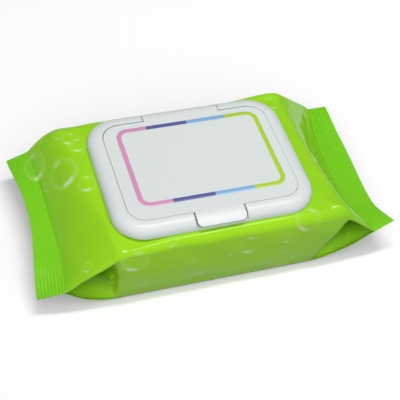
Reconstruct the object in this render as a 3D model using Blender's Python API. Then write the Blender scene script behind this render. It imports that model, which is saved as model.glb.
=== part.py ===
"""Wet wipes pack: a film pouch with tucked, crimped ends and a hinged dispensing cap.

Metres, +Z up. The origin is the middle of the pack's underside, +X runs along the pack
and the lid's hinge is at the +Y side.
"""

import math
from dataclasses import dataclass

import bmesh
import bpy
import numpy as np

MM = 0.001

# Film pouch
PACK_LENGTH = 165 * MM
PACK_WIDTH = 83 * MM
PACK_HEIGHT = 32 * MM
TOP_EDGE_RADIUS = 5 * MM
BOTTOM_EDGE_RADIUS = 2 * MM
TOP_DRAW_IN = 1 * MM
BOTTOM_DRAW_IN = 0.6 * MM
FLAP_EDGE_HEIGHT = 1.2 * MM
EDGE_SHARE = 0.36
TUCK_ROUNDNESS = 1.25
TUCK_CLOSING = 0.08
SEAL_THICKNESS = 0.7 * MM
SEAL_EDGE_ROUND = 1.5 * MM
SEAL_TAPER = 1.8 * MM
CRIMP_DEPTH = 0.22 * MM
CRIMP_RIBS = 6
EAR_WIDTH = 18 * MM
BACK_SEAM_WIDTH = 12.5 * MM
BACK_SEAM_GROOVE = 0.3 * MM
BACK_SEAM_GROOVE_WIDTH = 0.6 * MM
SOFT_FOLD_ANGLE = 28

PUFF_PLACE = (44 * MM, 42 * MM)
PUFF_REACH = (26 * MM, 7.2 * MM)
PUFF_HEIGHT = 3.5 * MM

# Cap frame; heights in the cap are measured from the film's top
MOULDED_EDGE_ANGLE = 38
CAP_LENGTH = 92 * MM
CAP_WIDTH = 71 * MM
CAP_OFFSET = -1 * MM
CAP_CORNER_RADIUS = 14.5 * MM
CAP_TOP = 5.4 * MM
RIM_LENGTHWISE = 7 * MM
RIM_CROSSWISE = 6.4 * MM
RIM_ROUNDNESS = 2.4
RIM_WALL = 1.2 * MM
RIM_CHAMFER = 0.3 * MM
WELL_CORNER_RADIUS = 8.4 * MM
FLOOR_THICKNESS = 1.2 * MM
OPENING_LENGTH = 56 * MM
OPENING_WIDTH = 30 * MM
OPENING_CORNER_RADIUS = 14.4 * MM
COLLAR_WALL = 1.1 * MM
COLLAR_HEIGHT = 1.6 * MM
FRONT_SILL_HEIGHT = 1.7 * MM
BEAD_LENGTH = 14 * MM
BEAD_DEPTH = 0.35 * MM
BEAD_HEIGHT = 0.5 * MM

# Lid
LID_THICKNESS = 1.3 * MM
LID_EDGE_ROUND = 0.25 * MM
FRONT_TAB_WIDTH = 22 * MM
FRONT_TAB_OVERHANG = 0.9 * MM
FRONT_TAB_DROOP = 1.8 * MM
FRONT_TAB_CORNER = 2.3 * MM
FRONT_TAB_CURVE = 1.8
HINGE_TAB_WIDTH = 36 * MM
HINGE_HEIGHT = 1.75 * MM
HINGE_TAB_END = 0.15 * MM
SEAL_RIB_THICKNESS = 1 * MM
SEAL_RIB_DROP = 2.1 * MM
CATCH_THICKNESS = 0.9 * MM
CATCH_DROP = 2 * MM
LID_ROOT = 0.4 * MM

# Label on the lid: its margins to the lid's four edges
LABEL_MARGIN_LEFT = 5.9 * MM
LABEL_MARGIN_RIGHT = 4.2 * MM
LABEL_MARGIN_FRONT = 6.9 * MM
LABEL_MARGIN_BACK = 3.2 * MM
LABEL_CORNER_RADIUS = 5.5 * MM
LABEL_THICKNESS = 0.2 * MM
STRIPE_WIDTH = 2.2 * MM
STRIPE_SPLITS = (-18.2 * MM, 1.0 * MM, 19.2 * MM)

# Peel seal in the dished film under the opening
DISH_MARGIN = 1 * MM
DISH_DEPTH = 1.2 * MM
DISH_SLOPE = 1 * MM
PEEL_SEAL_MARGIN_ENDS = 7 * MM
PEEL_SEAL_MARGIN_SIDES = 4.5 * MM
PEEL_SEAL_CORNER = 5 * MM
PEEL_SEAL_THICKNESS = 0.2 * MM
PULL_TAB_LENGTH = 4.5 * MM
PULL_TAB_WIDTH = 9 * MM
PULL_TAB_CORNER = 2 * MM

# Clearances
SEAT_GAP = 0.3 * MM
LID_GAP = 0.35 * MM
LID_BACK_GAP = 0.75 * MM
FRONT_NOTCH_GAP = 0.7 * MM
HINGE_NOTCH_GAP = 0.35 * MM
HINGE_LEDGE_DROP = 0.35 * MM
CATCH_CLEARANCE = 0.15 * MM

# Mesh fineness
CORNER_STEPS = 8
RIM_STEPS = 8
CURVE_STEPS = 6
BODY_STEPS = 14
EDGE_STEPS = 4
SIDE_STEPS = 10
FLAT_POINTS = 5
ACROSS_POINTS = 2 * (FLAT_POINTS + 2) + 1
FLAP_STATIONS = (0.05, 0.13, 0.25, 0.38, 0.52, 0.66, 0.79, 0.89, 0.96)

# Colours
FILM_GREEN = "#84BE28"
CAP_WHITE = "#E4EBEA"
LABEL_WHITE = "#DFE6E4"
SEAL_SILVER = "#C9CED0"
STRIPE_COLOURS = ("#D99ABF", "#5B5F9A", "#88B6DD", "#B4D93A")


@dataclass(frozen=True)
class PackEnd:
    """One end of the pouch. Places along the pack are distances from the end's tip."""

    side: int
    fold_top_front: float
    fold_bottom_front: float
    fold_top_back: float
    fold_bottom_back: float
    seal_start: tuple
    edge: tuple
    front_ear_lift: float
    back_ear_lift: float
    seal_heights: tuple
    top_shoulders: tuple
    bottom_shoulders: tuple


# A seal's start and edge are given at even places from front to back, heights and shoulders at the
# front, the middle and the back. A shoulder is the power of the flap's fall or rise: 1 is
# straight, and more stays level for longer.
LEFT_END = PackEnd(
    side=-1,
    fold_top_front=35.5 * MM,
    fold_bottom_front=35.5 * MM,
    fold_top_back=27.5 * MM,
    fold_bottom_back=31.5 * MM,
    seal_start=(11.2 * MM, 13.4 * MM, 13.3 * MM, 12.8 * MM, 10.8 * MM),
    edge=(0, 2.4 * MM, 4.6 * MM, 3.7 * MM, 1.2 * MM),
    front_ear_lift=-3.5 * MM,
    back_ear_lift=-1.8 * MM,
    seal_heights=(12.5 * MM, 15 * MM, 16.2 * MM),
    top_shoulders=(1.0, 1.5, 1.7),
    bottom_shoulders=(2.0, 2.3, 2.4),
)
RIGHT_END = PackEnd(
    side=1,
    fold_top_front=24.7 * MM,
    fold_bottom_front=40.5 * MM,
    fold_top_back=33 * MM,
    fold_bottom_back=37 * MM,
    seal_start=(9.5 * MM, 14.5 * MM, 15.4 * MM, 14 * MM, 11 * MM),
    edge=(0, 2.9 * MM, 2.1 * MM, 2 * MM, 3.6 * MM),
    front_ear_lift=3 * MM,
    back_ear_lift=2 * MM,
    seal_heights=(15 * MM, 12.5 * MM, 16.2 * MM),
    top_shoulders=(0.9, 1.6, 1.6),
    bottom_shoulders=(1.7, 2.0, 2.2),
)

# Derived places in the cap, from its own centre
CAP_HALF = (CAP_LENGTH / 2, CAP_WIDTH / 2)
WELL_HALF = (CAP_HALF[0] - RIM_LENGTHWISE, CAP_HALF[1] - RIM_CROSSWISE)
RIM_HEIGHT = CAP_TOP - SEAT_GAP
FLOOR_TOP = SEAT_GAP + FLOOR_THICKNESS
LID_UNDERSIDE = CAP_TOP - LID_THICKNESS
LID_HALF_LENGTH = WELL_HALF[0] - LID_GAP
LID_FRONT = -(WELL_HALF[1] - LID_GAP)
LID_BACK = WELL_HALF[1] - LID_BACK_GAP
LID_CORNER_RADIUS = WELL_CORNER_RADIUS - LID_GAP
HINGE_Y = CAP_HALF[1]
BEAD_INNER = WELL_HALF[1] - BEAD_DEPTH
BEAD_TOP = LID_UNDERSIDE - 2 * SEAT_GAP


def srgb(hex_colour):
    """Linear RGBA of an sRGB hex colour."""
    channels = [int(hex_colour[i:i + 2], 16) / 255 for i in (1, 3, 5)]
    linear = [c / 12.92 if c <= 0.04045 else ((c + 0.055) / 1.055) ** 2.4 for c in channels]
    return (*linear, 1.0)


def make_material(name, hex_colour, roughness):
    material = bpy.data.materials.new(name)
    material.use_nodes = True
    shader = material.node_tree.nodes["Principled BSDF"]
    shader.inputs["Base Color"].default_value = srgb(hex_colour)
    shader.inputs["Roughness"].default_value = roughness
    shader.inputs["Metallic"].default_value = 0.0
    return material


def make_object(name, mesh_builder, parent=None, location=(0, 0, 0)):
    """An object from a bmesh, its faces turned outwards, under its parent."""
    bmesh.ops.recalc_face_normals(mesh_builder, faces=mesh_builder.faces)
    mesh = bpy.data.meshes.new(name)
    mesh_builder.to_mesh(mesh)
    mesh_builder.free()
    piece = bpy.data.objects.new(name, mesh)
    bpy.context.collection.objects.link(piece)
    piece.parent = parent
    piece.location = location
    return piece


def make_empty(name, parent=None, location=(0, 0, 0)):
    empty = bpy.data.objects.new(name, None)
    bpy.context.collection.objects.link(empty)
    empty.parent = parent
    empty.location = location
    return empty


def combine(piece, tool, operation):
    """Boolean of a piece with a tool solid, which is kept as a hidden wire guide."""
    modifier = piece.modifiers.new(tool.name, "BOOLEAN")
    modifier.operation = operation
    modifier.object = tool
    tool.hide_render = True
    tool.display_type = "WIRE"


def smooth(piece, degrees):
    piece.data.shade_smooth()
    piece.data.set_sharp_from_angle(angle=math.radians(degrees))


def arc(centre, radius, start, end, steps):
    """Points on an arc, angles in degrees."""
    angles = np.radians(np.linspace(start, end, steps + 1))
    return [(centre[0] + radius * math.cos(a), centre[1] + radius * math.sin(a)) for a in angles]


def rounded_rectangle(half, radius, centre=(0, 0)):
    """Outline of a rounded rectangle, anticlockwise from its front right corner."""
    points = []
    for quarter, (sx, sy) in enumerate(((1, -1), (1, 1), (-1, 1), (-1, -1))):
        corner = (centre[0] + sx * (half[0] - radius), centre[1] + sy * (half[1] - radius))
        start = 90 * (quarter - 1)
        points += arc(corner, radius, start, start + 90, CORNER_STEPS)
    return points


def loft(rings, closed):
    """Solid through rings of equal point count: closed on itself, or capped at both ends."""
    builder = bmesh.new()
    loops = [[builder.verts.new(point) for point in ring] for ring in rings]
    pairs = list(zip(loops, loops[1:]))
    if closed:
        pairs.append((loops[-1], loops[0]))
    for lower, upper in pairs:
        for i in range(len(lower)):
            j = (i + 1) % len(lower)
            builder.faces.new((lower[i], lower[j], upper[j], upper[i]))
    if not closed:
        builder.faces.new(loops[0])
        builder.faces.new(loops[-1])
    return builder


def level(outline, height):
    return [(x, y, height) for x, y in outline]


def extrude_up(outline, low, high):
    return loft([level(outline, low), level(outline, high)], closed=False)


def extrude_along_x(profile, half_length):
    """Prism of a profile of (y, z) points."""
    rings = [[(side * half_length, y, z) for y, z in profile] for side in (-1, 1)]
    return loft(rings, closed=False)


def lerp(a, b, t):
    return a + (b - a) * t


def ease(t):
    """Smooth step from 0 to 1."""
    t = np.clip(t, 0, 1)
    return t * t * (3 - 2 * t)


def spread(values, q):
    """Smooth curve across the pack through even places from the front (q 0) to the back (q 1)."""
    places = np.linspace(0, 1, len(values))
    return np.polyval(np.polyfit(places, values, len(values) - 1), q)


def puff(x, y):
    """Height of the soft bulge that the film makes beside the cap's back right corner."""
    along, across = (x - PUFF_PLACE[0]) / PUFF_REACH[0], (y - PUFF_PLACE[1]) / PUFF_REACH[1]
    return PUFF_HEIGHT * ease(1 - np.hypot(along, across))


class Station:
    """One cross-section of the pouch.

    run is 0 in the body, grows to 1 where the flaps meet in the seal, and to 2 at the
    seal's outer edge. along is the share of the way from the left end's folds to the
    right end's, for a station in the body.
    """

    def __init__(self, end, run, along=0.0, crimp=0.0):
        self.end = end
        self.along = along
        self.crimp = crimp
        self.flap = min(run, 1.0)
        self.seal = max(run - 1.0, 0.0)
        self.half_width = PACK_WIDTH / 2 - TOP_DRAW_IN - self.seal * SEAL_TAPER
        self.bottom_half = lerp(PACK_WIDTH / 2 - BOTTOM_DRAW_IN, self.half_width, self.flap)
        self.top_corner = lerp(TOP_EDGE_RADIUS, SEAL_EDGE_ROUND, ease(self.flap))
        self.bottom_corner = lerp(BOTTOM_EDGE_RADIUS, SEAL_EDGE_ROUND, ease(self.flap))

    def across(self, y):
        """Share of the way from the front edge to the back edge."""
        return np.clip((y + self.half_width) / (2 * self.half_width), 0, 1)

    def seal_height(self, y):
        """Height of the seal, whose two ears are warped up or down."""
        height = spread(self.end.seal_heights, self.across(y)) + self.crimp
        inside = EAR_WIDTH - self.half_width
        height = height + self.end.front_ear_lift * self.seal * ease((inside - y) / EAR_WIDTH)
        return height + self.end.back_ear_lift * self.seal * ease((inside + y) / EAR_WIDTH)

    def flat_top(self, y):
        """Height of the top film without the rounding of its edges."""
        drop = spread([self.flap ** power for power in self.end.top_shoulders], self.across(y))
        drop = np.maximum(drop, 0)
        return PACK_HEIGHT - drop * (PACK_HEIGHT - self.seal_height(y) - SEAL_THICKNESS / 2)

    def flat_bottom(self, y):
        rise = spread([self.flap ** power for power in self.end.bottom_shoulders], self.across(y))
        return rise * (self.seal_height(y) - SEAL_THICKNESS / 2)

    def rounding(self, y, edge, corner, body_radius):
        """Height that an edge's elliptic quarter takes off the film."""
        wanted = lerp(body_radius, FLAP_EDGE_HEIGHT, self.flap)
        height = np.minimum(wanted, EDGE_SHARE * (self.flat_top(y) - self.flat_bottom(y)))
        out = np.clip((np.abs(y) - edge + corner) / corner, 0, 1)
        return height * (1 - np.sqrt(1 - out ** 2))

    def top(self, y):
        height = self.flat_top(y) + puff(self.place_along(y, 0.0), y) * (1 - self.flap)
        return height - self.rounding(y, self.half_width, self.top_corner, TOP_EDGE_RADIUS)

    def bottom(self, y):
        rounding = self.rounding(y, self.bottom_half, self.bottom_corner, BOTTOM_EDGE_RADIUS)
        return self.flat_bottom(y) + rounding

    def tuck(self):
        """Depth of the side's inward fold: each half of the side film keeps its length."""
        slant = math.sqrt(1 - (1 - self.flap) ** 2)
        closing = math.sqrt(min((1 - self.flap) / TUCK_CLOSING, 1.0))
        return PACK_HEIGHT / 2 * slant * closing

    def place_along(self, y, down):
        """X of points, from their places across and their shares of the way down."""
        q = self.across(y)
        if self.along > 0:
            return lerp(fold_line(LEFT_END, q, down), fold_line(RIGHT_END, q, down), self.along)
        end = self.end
        fold = fold_line(end, q, down)
        seal_start = end.side * (PACK_LENGTH / 2 - spread(end.seal_start, q))
        edge = end.side * (PACK_LENGTH / 2 - spread(end.edge, q))
        return lerp(fold, seal_start, self.flap) + (edge - seal_start) * self.seal

    def cross_points(self, flat):
        """Places across a flat film from its back to its front, with the seam's grooves."""
        seam = BACK_SEAM_WIDTH / 2
        groove = BACK_SEAM_GROOVE_WIDTH / 2
        outer = np.linspace(flat, seam + groove, FLAT_POINTS)
        half = np.concatenate([outer, [seam, seam - groove]])
        return np.concatenate([half, [0.0], -half[::-1]])

    def side_points(self, side):
        """Points down one side: top rounding, side film with its tuck, bottom rounding."""
        turn = np.radians(np.linspace(0, 90, EDGE_STEPS + 1))
        top_y = self.half_width - self.top_corner * (1 - np.sin(turn[1:]))
        bottom_y = self.bottom_half - self.bottom_corner * (1 - np.cos(turn[:-1]))
        down = np.linspace(0, 1, SIDE_STEPS + 1)[1:-1]
        fold = (1 - np.abs(2 * down - 1) ** TUCK_ROUNDNESS) * self.tuck()
        film_y = self.half_width - fold
        film_z = lerp(self.top(side * film_y), self.bottom(side * film_y), down)
        draw_in = np.where(down < 0.5, TOP_DRAW_IN, BOTTOM_DRAW_IN) * (2 * down - 1) ** 2
        film_y = lerp(PACK_WIDTH / 2 - draw_in, self.half_width, self.flap) - fold
        y = np.concatenate([top_y, film_y, bottom_y])
        z = np.concatenate([self.top(side * top_y), film_z, self.bottom(side * bottom_y)])
        share = np.concatenate([np.zeros(EDGE_STEPS), down, np.ones(EDGE_STEPS)])
        return np.stack([side * y, z, share], axis=1)

    def section(self):
        """Closed ring of points: top from back to front, front side, bottom, back side."""
        top_y = self.cross_points(self.half_width - self.top_corner)
        top = np.stack([top_y, self.top(top_y), np.zeros_like(top_y)], axis=1)
        bottom_y = -self.cross_points(self.bottom_half - self.bottom_corner)
        bottom_z = self.bottom(bottom_y)
        thickness = self.flat_top(bottom_y) - bottom_z
        for seam_edge in (FLAT_POINTS, ACROSS_POINTS - 1 - FLAT_POINTS):
            bottom_z[seam_edge] += min(BACK_SEAM_GROOVE, EDGE_SHARE * thickness[seam_edge])
        bottom = np.stack([bottom_y, bottom_z, np.ones_like(bottom_y)], axis=1)
        ring = np.concatenate([top, self.side_points(-1), bottom, self.side_points(1)[::-1]])
        x = self.place_along(ring[:, 0], ring[:, 2])
        return np.stack([x, ring[:, 0], ring[:, 1]], axis=1).tolist()


def fold_line(end, q, down):
    """X where the side film starts to tuck in, across the pack and down its side."""
    top = lerp(end.fold_top_front, end.fold_top_back, q)
    bottom = lerp(end.fold_bottom_front, end.fold_bottom_back, q)
    return end.side * (PACK_LENGTH / 2 - lerp(top, bottom, down))


def end_stations(end):
    """Stations of one end, from its fold line out to the seal's edge."""
    stations = [Station(end, flap) for flap in (0.0, *FLAP_STATIONS, 1.0)]
    steps = 2 * CRIMP_RIBS
    for i in range(1, steps + 1):
        crimp = CRIMP_DEPTH * (-1) ** (i + 1) if i < steps else 0.0
        stations.append(Station(end, 1 + i / steps, crimp=crimp))
    return stations


def close_seal(builder, ring):
    """Close the seal's thin edge: strips between the two films, and a face at each side."""
    across = ACROSS_POINTS
    down = (len(ring) - 2 * across) // 2
    top = ring[:across]
    bottom = ring[across + down:2 * across + down][::-1]
    for i in range(across - 1):
        builder.faces.new((top[i], top[i + 1], bottom[i + 1], bottom[i]))
    builder.faces.new(ring[across - 1:across + down + 1])
    builder.faces.new(ring[2 * across + down - 1:] + ring[:1])


def build_pouch():
    body = [Station(LEFT_END, 0.0, along=i / BODY_STEPS) for i in range(1, BODY_STEPS)]
    stations = end_stations(LEFT_END)[::-1] + body + end_stations(RIGHT_END)
    builder = bmesh.new()
    rings = [[builder.verts.new(point) for point in station.section()] for station in stations]
    for near, far in zip(rings, rings[1:]):
        for i in range(len(near)):
            j = (i + 1) % len(near)
            builder.faces.new((near[i], near[j], far[j], far[i]))
    close_seal(builder, rings[0])
    close_seal(builder, rings[-1])
    pouch = make_object("pouch", builder)
    pouch.data.materials.append(make_material("printed_film", FILM_GREEN, 0.25))
    smooth(pouch, SOFT_FOLD_ANGLE)
    combine(pouch, dish_cutter(), "DIFFERENCE")
    return pouch


def dish_cutter():
    """The shallow dish that the film makes under the cap's opening."""
    half = (OPENING_LENGTH / 2 - DISH_MARGIN, OPENING_WIDTH / 2 - DISH_MARGIN)
    radius = OPENING_CORNER_RADIUS - DISH_MARGIN
    rings = []
    for step in (-1, 1):
        wider = step * DISH_SLOPE / 2
        outline = rounded_rectangle((half[0] + wider, half[1] + wider), radius + wider, (CAP_OFFSET, 0))
        rings.append(level(outline, PACK_HEIGHT + step * DISH_DEPTH))
    return make_object("dish_cutter", loft(rings, closed=False))


def rim_curve(inset_size, height, base, start=0.0, steps=RIM_STEPS):
    """Inset and height pairs on the rim's bullnose, a quarter superellipse."""
    first = math.asin(min((start / height) ** (RIM_ROUNDNESS / 2), 1.0))
    turns = np.linspace(first, math.pi / 2, steps + 1)
    power = 2 / RIM_ROUNDNESS
    return [(inset_size * (1 - max(math.cos(a), 0.0) ** power), base + height * math.sin(a) ** power)
            for a in turns]


def rim_outline(share):
    """Outline between the cap's foot (share 0) and the well's edge (share 1)."""
    half = (lerp(CAP_HALF[0], WELL_HALF[0], share), lerp(CAP_HALF[1], WELL_HALF[1], share))
    return rounded_rectangle(half, lerp(CAP_CORNER_RADIUS, WELL_CORNER_RADIUS, share))


def rim_rings(curve):
    """Rings round the rim for inset and height pairs, the inset measured crosswise."""
    return [level(rim_outline(inset / RIM_CROSSWISE), height) for inset, height in curve]


def collar_outline(outside):
    half = (OPENING_LENGTH / 2 + outside, OPENING_WIDTH / 2 + outside)
    return rounded_rectangle(half, OPENING_CORNER_RADIUS + outside)


def build_frame(parent):
    curve = [point for point in rim_curve(RIM_CROSSWISE, RIM_HEIGHT, SEAT_GAP)
             if point[0] < RIM_CROSSWISE - RIM_CHAMFER]
    curve.append((RIM_CROSSWISE - RIM_CHAMFER, CAP_TOP))
    curve.append((RIM_CROSSWISE, CAP_TOP - RIM_CHAMFER))
    curve.append((RIM_CROSSWISE, FLOOR_TOP))
    rings = rim_rings(curve)
    collar_top = FLOOR_TOP + COLLAR_HEIGHT
    rings.append(level(collar_outline(COLLAR_WALL), FLOOR_TOP))
    rings.append(level(collar_outline(COLLAR_WALL), collar_top))
    rings.append(level(collar_outline(0), collar_top))
    rings.append(level(collar_outline(0), SEAT_GAP))
    frame = make_object("cap_frame", loft(rings, closed=True), parent)
    frame.data.materials.append(make_material("moulded_cap", CAP_WHITE, 0.35))
    smooth(frame, MOULDED_EDGE_ANGLE)
    combine(frame, rim_hollow(parent), "DIFFERENCE")
    combine(frame, front_notch(parent), "DIFFERENCE")
    combine(frame, hinge_notch(parent), "DIFFERENCE")
    combine(frame, snap_bead(parent), "UNION")
    return frame


def rim_hollow(parent):
    """The hollow under the moulded rim, left solid beside the two notches."""
    width = RIM_CROSSWISE - RIM_WALL
    height = RIM_HEIGHT - RIM_WALL
    curve = [(RIM_WALL + inset, z) for inset, z in rim_curve(width, height, SEAT_GAP)
             if inset < width - RIM_WALL]
    curve.append((RIM_CROSSWISE - RIM_WALL, SEAT_GAP + height))
    curve.append((RIM_CROSSWISE - RIM_WALL, -CAP_TOP))
    curve.append((RIM_WALL, -CAP_TOP))
    hollow = make_object("rim_hollow", loft(rim_rings(curve), closed=True), parent)
    for name, side, notch in (("front", -1, FRONT_TAB_WIDTH / 2 + FRONT_NOTCH_GAP),
                              ("hinge", 1, HINGE_TAB_WIDTH / 2 + HINGE_NOTCH_GAP)):
        half = notch + RIM_WALL
        profile = [(0, -2 * CAP_TOP), (side * CAP_WIDTH, -2 * CAP_TOP),
                   (side * CAP_WIDTH, 2 * CAP_TOP), (0, 2 * CAP_TOP)]
        keeper = make_object(name + "_solid", extrude_along_x(profile, half), parent)
        combine(hollow, keeper, "DIFFERENCE")
    return hollow


def front_notch(parent):
    """Cut for the lid's front tab: a low sill outside and the well's wall behind it."""
    outside = -CAP_WIDTH
    wall = -(WELL_HALF[1] + RIM_WALL)
    inside = -(WELL_HALF[1] - RIM_WALL)
    profile = [(outside, FRONT_SILL_HEIGHT), (wall, FRONT_SILL_HEIGHT), (wall, BEAD_TOP),
               (inside, BEAD_TOP), (inside, 2 * CAP_TOP), (outside, 2 * CAP_TOP)]
    half = FRONT_TAB_WIDTH / 2 + FRONT_NOTCH_GAP
    return make_object("front_notch", extrude_along_x(profile, half), parent)


def hinge_notch(parent):
    """Cut for the lid's hinge tab, down to a thin ledge that carries the hinge."""
    inside = WELL_HALF[1] - RIM_WALL / 2
    ledge = HINGE_HEIGHT - HINGE_LEDGE_DROP
    profile = [(inside, ledge), (CAP_WIDTH, ledge), (CAP_WIDTH, 2 * CAP_TOP), (inside, 2 * CAP_TOP)]
    half = HINGE_TAB_WIDTH / 2 + HINGE_NOTCH_GAP
    return make_object("hinge_notch", extrude_along_x(profile, half), parent)


def snap_bead(parent):
    """Bead on the well's front wall that the lid's catch passes under."""
    wall = -WELL_HALF[1]
    top = BEAD_TOP
    profile = [(wall - RIM_WALL / 2, top - BEAD_HEIGHT), (wall + BEAD_DEPTH, top - BEAD_HEIGHT * 0.7),
               (wall + BEAD_DEPTH, top - BEAD_HEIGHT * 0.3), (wall - RIM_WALL / 2, top)]
    return make_object("snap_bead", extrude_along_x(profile, BEAD_LENGTH / 2), parent)


def lid_outline():
    """Plan of the lid: a rounded rectangle with a front tab and a hinge tab."""
    side = LID_HALF_LENGTH - LID_CORNER_RADIUS
    front = LID_FRONT + LID_CORNER_RADIUS
    back = LID_BACK - LID_CORNER_RADIUS
    tab = FRONT_TAB_WIDTH / 2
    tip = -(CAP_HALF[1] + FRONT_TAB_OVERHANG)
    hinge = HINGE_TAB_WIDTH / 2
    right = arc((tab - FRONT_TAB_CORNER, tip + FRONT_TAB_CORNER), FRONT_TAB_CORNER, -90, 0, CURVE_STEPS)
    right.append((tab, LID_FRONT))
    right += arc((side, front), LID_CORNER_RADIUS, -90, 0, CORNER_STEPS)
    right += arc((side, back), LID_CORNER_RADIUS, 0, 90, CORNER_STEPS)
    right.append((hinge, LID_BACK))
    right.append((hinge, CAP_WIDTH))
    return right + [(-x, y) for x, y in reversed(right)]


def lid_profile():
    """Side profile of the lid as (y, z): front tab, flat panel and hinge tab."""
    tip = CAP_HALF[1] + FRONT_TAB_OVERHANG
    start = WELL_HALF[1]
    reach = np.linspace(1, 0, CURVE_STEPS + 1)
    droop = FRONT_TAB_DROOP * reach ** FRONT_TAB_CURVE
    front = [(-lerp(start, tip, r), CAP_TOP - d) for r, d in zip(reach.tolist(), droop.tolist())]
    tab_end = HINGE_HEIGHT + HINGE_TAB_END - SEAT_GAP
    outer = rim_curve(RIM_CROSSWISE, RIM_HEIGHT, SEAT_GAP, start=tab_end)
    inner = rim_curve(RIM_CROSSWISE - LID_THICKNESS, RIM_HEIGHT - LID_THICKNESS, SEAT_GAP, start=tab_end)
    top = front + [(CAP_HALF[1] - inset, z) for inset, z in outer[::-1]]
    under = [(CAP_HALF[1] - LID_THICKNESS - inset, z) for inset, z in inner]
    under += [(y, z - LID_THICKNESS) for y, z in front[::-1]]
    return top + under


def build_lid(hinge):
    """The lid, modelled in the cap's place and hung from the hinge line."""
    shift = (0, -HINGE_Y, -HINGE_HEIGHT)
    lid = make_object("lid", extrude_up(lid_outline(), -CAP_TOP, 3 * CAP_TOP), hinge, shift)
    lid.data.materials.append(make_material("moulded_lid", CAP_WHITE, 0.3))
    smooth(lid, MOULDED_EDGE_ANGLE)
    profile = make_object("lid_profile", extrude_along_x(lid_profile(), CAP_LENGTH), hinge, shift)
    combine(lid, profile, "INTERSECT")
    edge = lid.modifiers.new("soft_edges", "BEVEL")
    edge.width = LID_EDGE_ROUND
    edge.segments = 2
    edge.limit_method = "ANGLE"
    edge.angle_limit = math.radians(MOULDED_EDGE_ANGLE)
    floor = CAP_TOP - LABEL_THICKNESS - SEAT_GAP
    recess = extrude_up(label_outline(SEAT_GAP), floor, 3 * CAP_TOP)
    combine(lid, make_object("label_recess", recess, hinge, shift), "DIFFERENCE")
    combine(lid, sealing_rib(hinge, shift), "UNION")
    combine(lid, catch_rib(hinge, shift), "UNION")
    return lid


def sealing_rib(hinge, shift):
    """Ring under the lid that closes round the frame's collar."""
    inner = COLLAR_WALL + LID_GAP
    outer = inner + SEAL_RIB_THICKNESS
    low = LID_UNDERSIDE - SEAL_RIB_DROP
    high = LID_UNDERSIDE + LID_ROOT
    rings = [level(collar_outline(outer), low), level(collar_outline(outer), high),
             level(collar_outline(inner), high), level(collar_outline(inner), low)]
    return make_object("sealing_rib", loft(rings, closed=True), hinge, shift)


def catch_rib(hinge, shift):
    """Rib behind the front edge whose nose stands under the frame's bead."""
    nose = -(BEAD_INNER - CATCH_CLEARANCE)
    back = nose + CATCH_THICKNESS
    face = nose + BEAD_DEPTH
    low = LID_UNDERSIDE - CATCH_DROP
    profile = [(back, LID_UNDERSIDE + LID_ROOT), (face, LID_UNDERSIDE + LID_ROOT),
               (face, low + 2 * BEAD_HEIGHT), (nose, low + 1.5 * BEAD_HEIGHT),
               (nose, low + BEAD_HEIGHT / 2), (face, low), (back, low)]
    return make_object("catch_rib", extrude_along_x(profile, BEAD_LENGTH / 2), hinge, shift)


def label_outline(wider=0.0):
    """Outline of the label, with points on its long edges where the stripe changes colour."""
    left = -LID_HALF_LENGTH + LABEL_MARGIN_LEFT - wider
    right = LID_HALF_LENGTH - LABEL_MARGIN_RIGHT + wider
    front = LID_FRONT + LABEL_MARGIN_FRONT - wider
    back = LID_BACK - LABEL_MARGIN_BACK + wider
    half = ((right - left) / 2, (back - front) / 2)
    centre = ((left + right) / 2, (front + back) / 2)
    corners = rounded_rectangle(half, LABEL_CORNER_RADIUS + wider, centre)
    quarter = CORNER_STEPS + 1
    top = [(x, back) for x in STRIPE_SPLITS[::-1]]
    bottom = [(x, front) for x in STRIPE_SPLITS]
    return corners[:2 * quarter] + top + corners[2 * quarter:] + bottom


def build_label(hinge):
    """The lid's label: a white field inside a stripe of four colours."""
    high = CAP_TOP
    low = CAP_TOP - LABEL_THICKNESS
    builder = bmesh.new()
    loops = []
    for outline, height in ((label_outline(), low), (label_outline(), high),
                            (label_outline(-STRIPE_WIDTH), high)):
        loops.append([builder.verts.new(point) for point in level(outline, height)])
    builder.faces.new(loops[0])
    builder.faces.new(loops[2])
    for lower, upper in zip(loops, loops[1:]):
        for i in range(len(lower)):
            j = (i + 1) % len(lower)
            face = builder.faces.new((lower[i], lower[j], upper[j], upper[i]))
            middle = (lower[i].co.x + lower[j].co.x) / 2
            face.material_index = 1 + sum(middle > split for split in STRIPE_SPLITS)
    label = make_object("lid_label", builder, hinge, (0, -HINGE_Y, -HINGE_HEIGHT))
    label.data.materials.append(make_material("label_field", LABEL_WHITE, 0.4))
    for name, colour in zip(("pink", "navy", "light_blue", "yellow_green"), STRIPE_COLOURS):
        label.data.materials.append(make_material("stripe_" + name, colour, 0.4))
    return label


def build_peel_seal(cap):
    """The peel-off seal that lies in the dish, with its pull tab at the right."""
    half_x = OPENING_LENGTH / 2 - PEEL_SEAL_MARGIN_ENDS
    half_y = OPENING_WIDTH / 2 - PEEL_SEAL_MARGIN_SIDES
    tab = PULL_TAB_WIDTH / 2 - PULL_TAB_CORNER
    tip = half_x + PULL_TAB_LENGTH - PULL_TAB_CORNER
    outline = [(half_x, -PULL_TAB_WIDTH / 2)]
    outline += arc((tip, -tab), PULL_TAB_CORNER, -90, 0, CURVE_STEPS)
    outline += arc((tip, tab), PULL_TAB_CORNER, 0, 90, CURVE_STEPS)
    outline.append((half_x, PULL_TAB_WIDTH / 2))
    corners = rounded_rectangle((half_x, half_y), PEEL_SEAL_CORNER)
    outline += corners[CORNER_STEPS + 1:] + corners[:CORNER_STEPS + 1]
    low = SEAT_GAP - DISH_DEPTH
    seal = make_object("peel_seal", extrude_up(outline, low, low + PEEL_SEAL_THICKNESS), cap)
    seal.data.materials.append(make_material("seal_film", SEAL_SILVER, 0.3))
    return seal


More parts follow.
